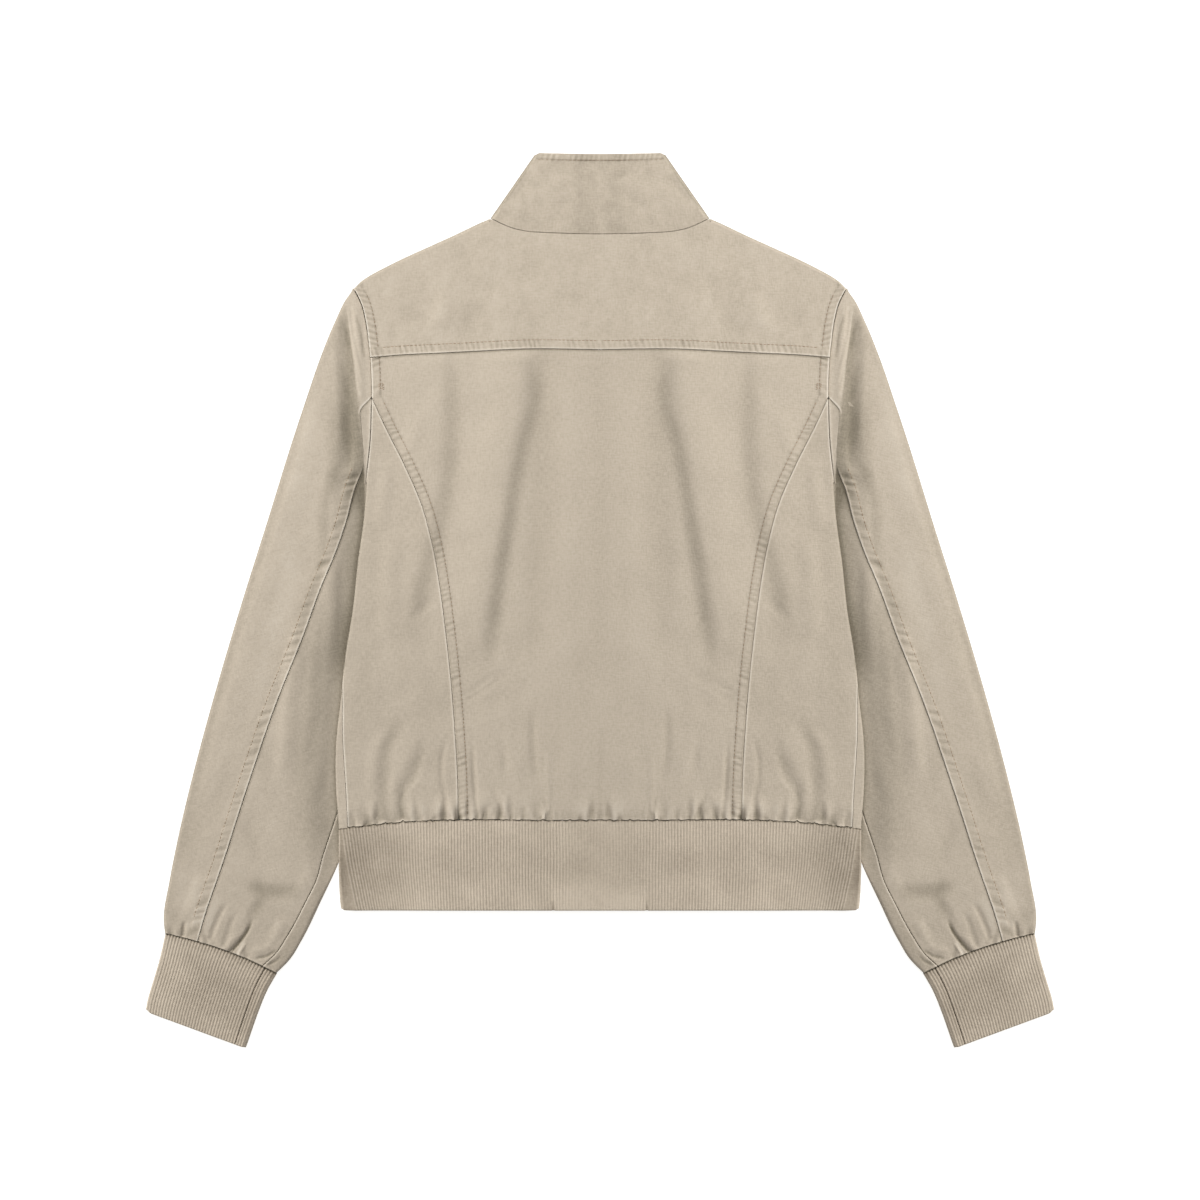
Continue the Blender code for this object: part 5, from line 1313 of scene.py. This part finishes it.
def make_sleeve_inner(side, mirrored):
    """The under panel on the top layer, by keys from the inner seam to the elbow seam."""
    upper = np.r_[167.5, 166.2, 164.6, np.arange(163, UNDERARM_Y + 1, -1.9), UNDERARM_Y + 0.7]
    lower = spread(UNDERARM_Y + 0.1, CUFF_SEAM_Y, [0.0], -WRIST_EDGE, 170)[0]
    row = sleeve_sections(np.r_[upper, lower])
    first = np.where(row["above"], 0.0, inner_seam_key(row, 1))
    last = seam_key(row, "elbow", -1)
    span = row["top_span"][:, None]
    key = spread(first, last, EDGE / span, EDGE / span, 62)
    x, y, z = sleeve_points(row, key)
    elbow = seam_side(np.abs(line["elbow"](y) - x) / slant("elbow", y) - HALF_SEAM, y, -0.45,
                      dark=0.5 * smooth((160 - y) / 15) + 0.9 * bell((y - 80) / 45)
                      + 1.5 * smooth((y - 155) / 3))
    lip = np.where(y > UNDERARM_Y, 0.5, -0.3 * smooth((-110 - y) / 60))
    start = seam_side((key - first[:, None]) * span, y, lip,
                      dark=0.1 + 0.9 * smooth((-110 - y) / 60))
    cuff = seam_side(row["y"][:, None] - CUFF_SEAM_Y + 0 * y, x, 0.3, dark=2.2)
    seen = 1 - 0.9 * smooth((156 - y) / 6) * smooth((y - 106) / 8)
    outer = stack(x, y, z + elbow[0] * seen + start[0] + cuff[0])
    # Tone: painted shade beside the body and in the valley by the armhole, a line of painted shade
    # under the elbow seam's edge, and painted shadow in the seam grooves
    tone = sleeve_tone(x, y, z) + elbow[1] * seen + start[1] + cuff[1] + valley_painted_shade(x, y)
    shell("sleeve_under_" + side, "sleeve_under_panel_" + side, outer,
          stack(*sleeve_points(row, key, CLOTH)), TWILL, tone, mirrored=mirrored, grain=GRAIN)


for side, mirrored in SIDES:
    make_sleeve_outer(side, mirrored)
    make_sleeve_inner(side, mirrored)

# %% [markdown]
# ## Ribbed bands
#
# The hem and the cuffs are knitted in a 1 by 1 rib: columns of stitches that stand up beside
# columns that sink in, 2.6 mm apart here. Each rib is a round crest over a narrow valley, made in
# the band's outer points. The bands pull the cloth in, so the ribs lean near the side folds.

# %% Rib profile
RIB = 0.4
RIB_STEPS = 8
# Places round a rib on the hidden under layer, and ribs on the turn of a side fold
UNDER_STEPS = 6
TURN_RIBS = 2
# Ribs of one half of the hem band's under layer: over the sleeve, and from there to the tab
LIFTED_RIBS, FLAT_RIBS = 10, 57
NEAR_SEAM, NEAR_FREE = [0, 0.2, 0.5, 0.9, 1.6], [0, 0.2, 0.5, 0.9, 1.3, 2.2]


def rib_profile(phase):
    """Height share and tone of a rib: a cosine whose crest is broadened by a power of 0.6."""
    share = (0.5 - 0.5 * np.cos(2 * np.pi * phase)) ** 0.6
    # The tone paints shade in the rib's valley and a little light on its crest
    return share, 0.4 * share - 0.26


def band_edges(level, length, lip=0.7):
    """Rounding at the seam edge and the free edge of a band, in millimetres of height."""
    near = np.clip(1 - level * length / 1.0, 0, 1)
    free = np.clip(1 - (1 - level) * length / 1.6, 0, 1)
    return -lip * (1 - np.sqrt(1 - near ** 2)) - 1.2 * lip * (1 - np.sqrt(1 - free ** 2))


# %% Hem band
def make_hem_rib():
    """The hem band: keys go round it, from -1 to 1 over the back and on to 3 underneath."""
    level = spread(0, HEM_HEIGHT, NEAR_SEAM, NEAR_FREE, 9)[0][:, None] / HEM_HEIGHT
    ribs = LIFTED_RIBS + FLAT_RIBS
    top = np.linspace(-1, 1, HEM_RIBS * RIB_STEPS + 1)
    turn = np.linspace(1, 2, 13)[1:]
    under = np.r_[np.linspace(2, 2.2, LIFTED_RIBS * UNDER_STEPS + 1)[1:],
                  np.linspace(2.2, 3, FLAT_RIBS * UNDER_STEPS + 1)[1:]]
    key = np.r_[-under[::-1], -turn[::-1], top, turn, under]
    phase = np.r_[np.linspace(0, ribs, len(under), False), np.linspace(0, TURN_RIBS, 12, False),
                  np.linspace(0, HEM_RIBS, len(top)), np.linspace(0, TURN_RIBS, 13)[1:],
                  np.linspace(0, ribs, len(under) + 1)[1:]]
    raised, tone = rib_profile(phase)
    # The hem band is stretched a little, so its ribs are shallower than those of the cuffs
    raised, tone = 0.8 * raised, 0.72 * tone - 0.11
    # Painted shade in the rib valleys, deeper towards the side folds
    tone = tone + 1.1 * smooth((np.abs(key) - 0.86) / 0.12) * (tone + 0.11) * (np.abs(key) <= 1)
    side, key = np.where(key < 0, -1, 1), np.abs(key)

    def band_y(x, at):
        """Place at a share of the way from the hem seam to the free edge."""
        edge = line["hem"](np.abs(x)) - HALF_SEAM
        x = np.abs(x)
        corner = 1.8 * smooth((x - 211.5) / 5) + 0.5 * bell((x - HEM_TAB_WIDTH) / 1.6)
        return edge + (HEM_Y + corner - edge) * at

    half = line["side edge"](band_y(216.0, level))
    low = body_lift(half, band_y(half, level))
    high = RIB_TOP - RIB + 0.7 * low / BODY_LIFT
    fold = (high - low) / 2
    flat = half - fold
    on_top, turning = key <= 1, (key > 1) & (key < 2)

    def points(wall, rib):
        """Points round the band, by a wall's depth and the ribs' height share."""
        lean = 9.5 * level * smooth((flat * key - 125) / 90) / flat
        wave = 0.22 * ripple(flat * key * side, 60 * level, 60, 81) * bell(level * 2 - 1) / flat
        x = np.where(on_top, flat * (key - lean * (key < 1) + wave * (key < 0.99)), 0)
        over = np.minimum(flat - 1, line["sleeve inner"](band_y(half, level)) - 1.5)
        off = np.minimum(flat - 4, over - 12)
        share = np.clip((key - 2) / 0.2, 0, 1), np.clip((key - 2.2) / 0.8, 0, 1)
        x_under = flat + (off - flat) * share[0] + (HEM_TAB_WIDTH - off) * share[1]
        x = np.where(on_top, x, x_under)
        y = band_y(x, level) + on_top * hem_jag(x) * np.exp(-level * HEM_HEIGHT / 2.5)
        fall = 1.3 * smooth((x - 128) / 50) * (1 - smooth((x - 186) / 26)) * smooth(level * 2.2)
        z = RIB_TOP - RIB + 0.7 * body_lift(x, y) / BODY_LIFT - fall
        uneven = 0.25 * ripple(x, y, 60, 82) * smooth(x / 20) * bell(level * 2 - 1)
        z = z + uneven * (1 - smooth((x - 185) / 20))
        z = np.where(on_top, z + RIB * rib - wall + band_edges(level, HEM_HEIGHT) * (wall == 0), 0)
        z_under = body_lift(x, y) + wall + 0.4 * (1 - rib) * (wall == 0)
        z = np.where(key >= 2, z_under, z)
        angle = np.pi * (0.5 - (key - 1))
        radius = fold - wall + 0.5 * rib * np.sin(np.pi * np.clip(key - 1, 0, 1))
        x = np.where(turning, half - fold + radius * np.cos(angle), x)
        y = np.where(turning, band_y(half, level), y)
        z = np.where(turning, low + fold + radius * np.sin(angle), z)
        return stack(side * x, y, z)

    outer, inner = points(0.0, raised), points(RIB_WALL, 0 * raised)
    x = np.abs(outer[..., 0])
    # Painted shade towards the band's sides; darker across its middle height and lighter by the
    # lower corner at the tab; painted shade in the small notch there and in the hem seam's groove
    shade = -0.30 * smooth((x - 150) / 50) * (1 - 0.6 * smooth((level - 0.75) / 0.3))
    shade = shade - 0.16 * bell((level - 0.45) / 0.5)
    shade = shade + 0.22 * (x < HEM_TAB_WIDTH) * smooth((level - 0.72) / 0.1)
    notch = -0.8 * bell((x - HEM_TAB_WIDTH) / 1.5) * smooth((level - 0.93) / 0.03)
    seam = -1.3 * np.exp(-(level * HEM_HEIGHT / 0.8) ** 2) - 0.08
    tone = tone + shade + seam + notch + 0.04 * ripple(outer[..., 0], outer[..., 1], 30, 83)
    shell("hem_rib", "hem_band", outer, inner, RIB_KNIT, tone, thin=6)


make_hem_rib()


# %% Cuffs and hem tabs
def make_cuff(side, mirrored):
    """A cuff: keys go over the top layer, round the outer fold, beneath and up to its own seam."""
    level = spread(0, CUFF_HEIGHT, NEAR_SEAM, NEAR_FREE, 10)[0] / CUFF_HEIGHT
    seam, split, past_seam = CUFF_SEAM_INSET / CUFF_WIDTH, 0.0008, 3
    ribs = CUFF_RIBS - past_seam
    top = np.linspace(seam + split, 1, ribs * RIB_STEPS + 1)
    under = np.linspace(2, 3, CUFF_RIBS * UNDER_STEPS + 1)[1:]
    key = np.r_[top, np.linspace(1, 2, 11)[1:], under, np.linspace(3, 4, 9)[1:],
                4 + np.linspace(0, seam - split, past_seam * RIB_STEPS + 1)[1:]]
    phase = np.r_[np.linspace(0, ribs, len(top)), np.linspace(0, TURN_RIBS, 11)[1:],
                  np.linspace(0, CUFF_RIBS, len(under) + 1)[1:], np.linspace(0, 1, 9)[1:],
                  np.linspace(0, past_seam, past_seam * RIB_STEPS + 1)[1:]]
    raised, tone = rib_profile(phase)

    def end(name):
        """Places on a fold's line, from its first row to its last."""
        start, final = LINES[name][0][0], LINES[name][-1][0]
        y = start + (final - start) * level
        return np.stack([line[name](y), y])[:, :, None]

    outer_end, inner_end = end("cuff outer"), end("cuff inner")
    length = np.hypot(*(inner_end - outer_end))
    toward = (inner_end - outer_end) / length
    level = level[:, None]
    high = CUFF_TOP - RIB
    fold = high / 2
    flat = length - 2 * fold
    wrapped = np.where(key >= 4, key - 4, key)

    def place(distance):
        """Place at a distance from the outer fold, with the cuff seam's rise and rounded corners."""
        spot = outer_end + toward * distance
        rise = (line["cuff rise"](distance / length) - HALF_SEAM) * (1 - level)
        corner = smooth(1 - distance / 5) + 0.4 * smooth(1 - (length - distance) / 4)
        return spot[0], spot[1] + rise + 2.0 * corner * smooth((level - 0.95) / 0.05)

    def points(wall, rib):
        """Points round the cuff, by a wall's depth and the ribs' height share."""
        top_x, top_y = place(fold + (1 - np.minimum(wrapped, 1)) * flat)
        low_x, low_y = place(fold + np.clip(wrapped - 2, 0, 1) * flat)
        beneath = (wrapped >= 2) & (wrapped <= 3)
        sag = 0.2 * bell((wrapped - 0.5) / 0.42) * bell((level - 0.5) / 0.5)
        z = high + RIB * rib - wall - sag + band_edges(level, CUFF_HEIGHT) * (wall == 0)
        x, y = np.where(beneath, low_x, top_x), np.where(beneath, low_y, top_y)
        z = np.where(beneath, wall + 0.35 * (1 - rib) * (wall == 0), z)
        for turned, distance, turn, sign in (
                ((key > 1) & (key < 2), 0 * key, key - 1, -1),
                ((key > 3) & (key < 4), length + 0 * key, 4 - key, 1)):
            edge_x, edge_y = place(distance)
            angle = np.pi * (0.5 - turn)
            radius = fold - wall + 0.35 * rib
            reach = sign * (radius * np.cos(angle) - fold)
            x = np.where(turned, edge_x + toward[0] * reach, x)
            y = np.where(turned, edge_y + toward[1] * reach, y)
            z = np.where(turned, fold + radius * np.sin(angle), z)
        return stack(x, y, z)

    outer, inner = points(0.0, raised), points(RIB_WALL, 0 * raised)
    near_seam = np.exp(-((wrapped - seam) * CUFF_WIDTH / 0.55) ** 2) * (wrapped < 1)
    outer[..., 2] -= 0.4 * near_seam
    # The cloth dips into the valleys between the ribs along the cuff seam
    valley, below = (1 - raised) * (wrapped <= 1), level * CUFF_HEIGHT
    outer[..., 1] -= 0.5 * valley * np.exp(-below / 1.2)
    # A little darker overall; painted shade over the part away from the outer fold, in the seam
    # grooves and in the rib valleys along the cuff seam; a faint random mottle
    shade = -0.2 - 0.34 * smooth((0.92 - wrapped) / 0.4) * bell((level - 0.45) / 0.8)
    shade = shade - 0.6 * near_seam - 1.2 * np.exp(-(below / 0.8) ** 2)
    shade = shade - 0.8 * valley * np.exp(-(below / 2.4) ** 2)
    tone = tone + shade + 0.04 * ripple(outer[..., 0], outer[..., 1], 26, 84)
    shell("cuff_" + side, "ribbed_cuff_" + side, outer, inner, RIB_KNIT, tone, thin=6,
          mirrored=mirrored, grain=-19.0)


def make_hem_tab(side, mirrored):
    """The plain end of the hem band beside the centre front, underneath."""
    x = spread(HALF_SEAM, HEM_TAB_WIDTH - HALF_SEAM - 0.1, EDGE, EDGE, 10)
    level = np.linspace(0, 1, 22)[:, None]
    top = line["hem"](x) - HALF_SEAM
    y = top + (HEM_Y - top) * level
    edge = np.minimum(x - HALF_SEAM, HEM_TAB_WIDTH - HALF_SEAM - x)
    outer = stack(x, y, 0.3 * np.exp(-(edge / 0.5) ** 2))
    shell("hem_tab_" + side, "hem_tab_cloth_" + side, outer, stack(x, y, RIB_WALL + 0 * y), TWILL,
          np.zeros(outer.shape[:2]), mirrored=mirrored)


for side, mirrored in SIDES:
    make_cuff(side, mirrored)
    make_hem_tab(side, mirrored)

# %% [markdown]
# ## Stitches
#
# Topstitching is a row of short thread lengths that dive into the cloth at both ends. There are
# about a thousand here, so one small bead of thread is worked out once and laid along every seam
# in a single array, and each group of seams becomes one joined mesh.

# %% Stitches
# Length and gap of the stitches, radius of the thread, and how proud of the cloth its middle lies
STITCH, STITCH_GAP, THREAD_RADIUS, PROUD = 2.5, 0.75, 0.24, 0.22


def stitch_row(x, y, height):
    """Middles and directions of the stitches along a line of places, one each 3.25 mm."""
    way = run_length(x, y)
    at = np.arange(STITCH, way[-1] - 1, STITCH + STITCH_GAP)
    middle = np.stack([np.interp(at, way, x), np.interp(at, way, y)], axis=1)
    ahead = np.stack([np.interp(at + 1, way, x), np.interp(at + 1, way, y)], axis=1) - middle
    ahead /= np.linalg.norm(ahead, axis=1, keepdims=True)
    return np.column_stack([middle, height(middle[:, 0], middle[:, 1])]), ahead


def stitches(name, rows, mirrored=False):
    """One mesh of beads: rings of six points whose radius falls and whose ends dip."""
    middle = np.concatenate([row[0] for row in rows])
    ahead = np.concatenate([row[1] for row in rows])
    place = np.array([-0.5, -0.36, 0, 0.36, 0.5])[:, None]
    size = THREAD_RADIUS * np.array([0.35, 0.9, 1.0, 0.9, 0.35])[:, None]
    angle = np.arange(6) * np.pi / 3
    along = STITCH * place + 0 * angle
    sideways, up = size * np.cos(angle), size * np.sin(angle) - 1.1 * place ** 2 + 0.06
    across = np.stack([-ahead[:, 1], ahead[:, 0]], axis=1)
    flat = middle[:, None, None, :2] + ahead[:, None, None] * along[..., None] \
        + across[:, None, None] * sideways[..., None]
    high = middle[:, None, None, 2:] + up[..., None]
    points = np.concatenate([flat, np.broadcast_to(high, flat.shape[:3] + (1,))], axis=-1)
    ring = np.arange(30).reshape(5, 6)
    near, beyond = np.roll(ring, -1, axis=1)[:-1], np.roll(ring, -1, axis=1)[1:]
    sides = np.stack([ring[:-1], near, beyond, ring[1:]], axis=-1).reshape(-1, 4)
    start = 30 * np.arange(len(middle))[:, None, None]
    faces = (sides + start).reshape(-1, 4).tolist()
    faces += (ring[0][::-1] + start[:, 0]).tolist() + (ring[-1] + start[:, 0]).tolist()
    faces = [face[::-1] for face in faces]
    PIECES[name] = new_object(name, points.reshape(-1, 3), faces, THREAD, mirrored,
                              np.zeros(30 * len(middle)), points[..., :2].reshape(-1, 2))
    print(name, len(middle), "stitches")


def beside_line(name, y, inward, band=BODY_BAND):
    """Places beside a long seam at a stitch line's distance, square to the seam."""
    slope = (line[name](y + 1.0) - line[name](y - 1.0)) / 2
    out = np.hypot(1, slope)
    return line[name](y) + inward * band / out, y - inward * band * slope / out


def lay_stitches(side, mirrored):
    """The rows of one half: yoke, armhole and long back seam, and the elbow seam."""
    x = np.linspace(1.6, 183, 80)
    yoke_row = stitch_row(x, line["yoke"](x) + HALF_SEAM + BODY_BAND,
                          lambda x, y: body_height(x, y) + 0.25)
    x, y = beside_line("back armhole", np.linspace(252, CORNER_Y + 4, 50), -1)
    arm_row = stitch_row(x, y, lambda x, y: np.minimum(body_height(x, y), 6.4) + PROUD)
    x, y = beside_line("princess", np.linspace(CORNER_Y - 6, -180, 120), -1)
    long_row = stitch_row(x, y, lambda x, y: body_height(x, y) + PROUD)
    stitches("back_topstitching_" + side, [yoke_row, arm_row, long_row], mirrored)
    x, y = beside_line("elbow", np.linspace(108, -268, 120), 1, ELBOW_BAND)
    elbow_row = stitch_row(x, y, lambda x, y: sleeve_height(x, y) + PROUD)
    stitches("sleeve_topstitching_" + side, [elbow_row], mirrored)
    # A bar tack is nine stitches that go to and fro across a short bar
    turn = np.linspace(0, 1, 9)
    bar = np.column_stack([182.2 + 1.5 * np.cos(turn * 8 * np.pi), 175.0 + 5.5 * turn])
    tack = np.column_stack([bar, body_height(bar[:, 0], bar[:, 1]) + 0.3])
    stitches("bar_tack_" + side, [(tack, np.tile([0.94, 0.34], (9, 1)))], mirrored)


for side, mirrored in SIDES:
    lay_stitches(side, mirrored)
x = np.linspace(-53, 53, 90)
collar_row = stitch_row(x, 366.0 + 0.9 * (x / 53) ** 2 * 0.5, lambda x, y: (
    BODY_TOP + 0.9 * np.sin(np.pi * (y - 305) / COLLAR_HEIGHT) + PROUD))
stitches("collar_topstitching", [collar_row])

# %% [markdown]
# ## What each piece stands for
#
# Every piece is attached to the jacket's body, and where a shell has the name of a solid, it
# replaces that solid, which is hidden.

for name, item in list(PIECES.items()):
    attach(item, "root")
    if name in frame["nodes"]:
        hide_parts(name)


# %% [markdown]
# ## Floor, light and camera
#
# The jacket lies on a pale floor and is seen from straight above. On the photograph each half is
# lit from its own outer side, so its folds mirror each other. A single lamp can't do that. Here
# each half has its own row of lamps, and every beam ends at the middle line of the jacket: a spot
# lamp opened to half a sphere and turned so that its flat rim passes over that line.

# %% Floor
floor_mesh = bpy.data.meshes.new("floor")
floor_mesh.from_pydata([(-6, -6, -0.0004), (6, -6, -0.0004), (6, 6, -0.0004), (-6, 6, -0.0004)],
                       [], [(0, 1, 2, 3)])
floor = place_object("floor", floor_mesh)
paper = bpy.data.materials.new("matt_white_floor")
paper.use_nodes = True
for name, value in (("Base Color", linear("#a09f9d")), ("Roughness", 0.9),
                    ("Specular IOR Level", 0.1), ("Emission Color", linear("#fbfaf8")),
                    ("Emission Strength", 0.92)):
    paper.node_tree.nodes["Principled BSDF"].inputs[name].default_value = value
floor_mesh.materials.append(paper)


# %% Lights
def aim(item, direction):
    """Turn a lamp's beam, its own minus z axis, to a direction."""
    item.rotation_euler = mathutils.Vector(direction).to_track_quat("-Z", "Y").to_euler()


LAMP_DISTANCE, LAMP_POWER, FEATHER = 8.0, 440.0, 0.05
# Tilt of each lamp from straight above and its turn towards the collar, in degrees
LAMP_PLACES = ((46, 20), (50, 38), (54, 10), (56, 30), (60, 48), (64, 22))
for sign in (-1, 1):
    for number, (tilt, turn) in enumerate(LAMP_PLACES):
        tilt, turn = np.radians(tilt), np.radians(turn)
        spot = np.array([sign * np.sin(tilt) * np.cos(turn), np.sin(tilt) * np.sin(turn),
                         np.cos(tilt)]) * LAMP_DISTANCE
        lamp = bpy.data.lights.new(f"side_lamp_{number}_{sign}", "SPOT")
        lamp.energy, lamp.shadow_soft_size, lamp.spot_size = LAMP_POWER, 0.05, np.pi
        lamp.spot_blend = 2 * FEATHER * spot[2] / LAMP_DISTANCE / LAMP_DISTANCE
        item = place_object(lamp.name, lamp)
        item.location = spot
        # The rim holds the lamp and the line x = -sign * FEATHER on the floor
        to_line = np.array([-sign * FEATHER - spot[0], 0, -spot[2]])
        normal = np.cross(to_line, (0, 1, 0))
        normal *= np.sign(normal[0]) * sign
        aim(item, normal)

overhead = bpy.data.lights.new("overhead_softbox", "AREA")
overhead.energy, overhead.size = 10.5, 0.5
item = place_object("overhead_softbox", overhead)
item.location = (0, 0.75, 1.3)
aim(item, (0, -0.75, -1.3))
world = bpy.data.worlds.new("pale_room")
world.use_nodes = True
world.node_tree.nodes["Background"].inputs["Color"].default_value = (1.0, 0.995, 0.985, 1.0)
world.node_tree.nodes["Background"].inputs["Strength"].default_value = 0.15
bpy.context.scene.world = world

# %% Camera
# The frame is 1.000 m wide at the height of the jacket's outline
FRAME_WIDTH, OUTLINE_HEIGHT = 1.0, 0.003
lens = bpy.data.cameras.new("camera")
lens.lens, lens.sensor_width = 85.0, 36.0
lens.clip_end = 50.0
camera = place_object("camera", lens)
camera.location = (0, 0, OUTLINE_HEIGHT + FRAME_WIDTH * lens.lens / lens.sensor_width)
bpy.context.scene.camera = camera
bpy.context.scene.view_settings.view_transform = "Standard"
print("camera height:", round(camera.location.z, 3), "m")
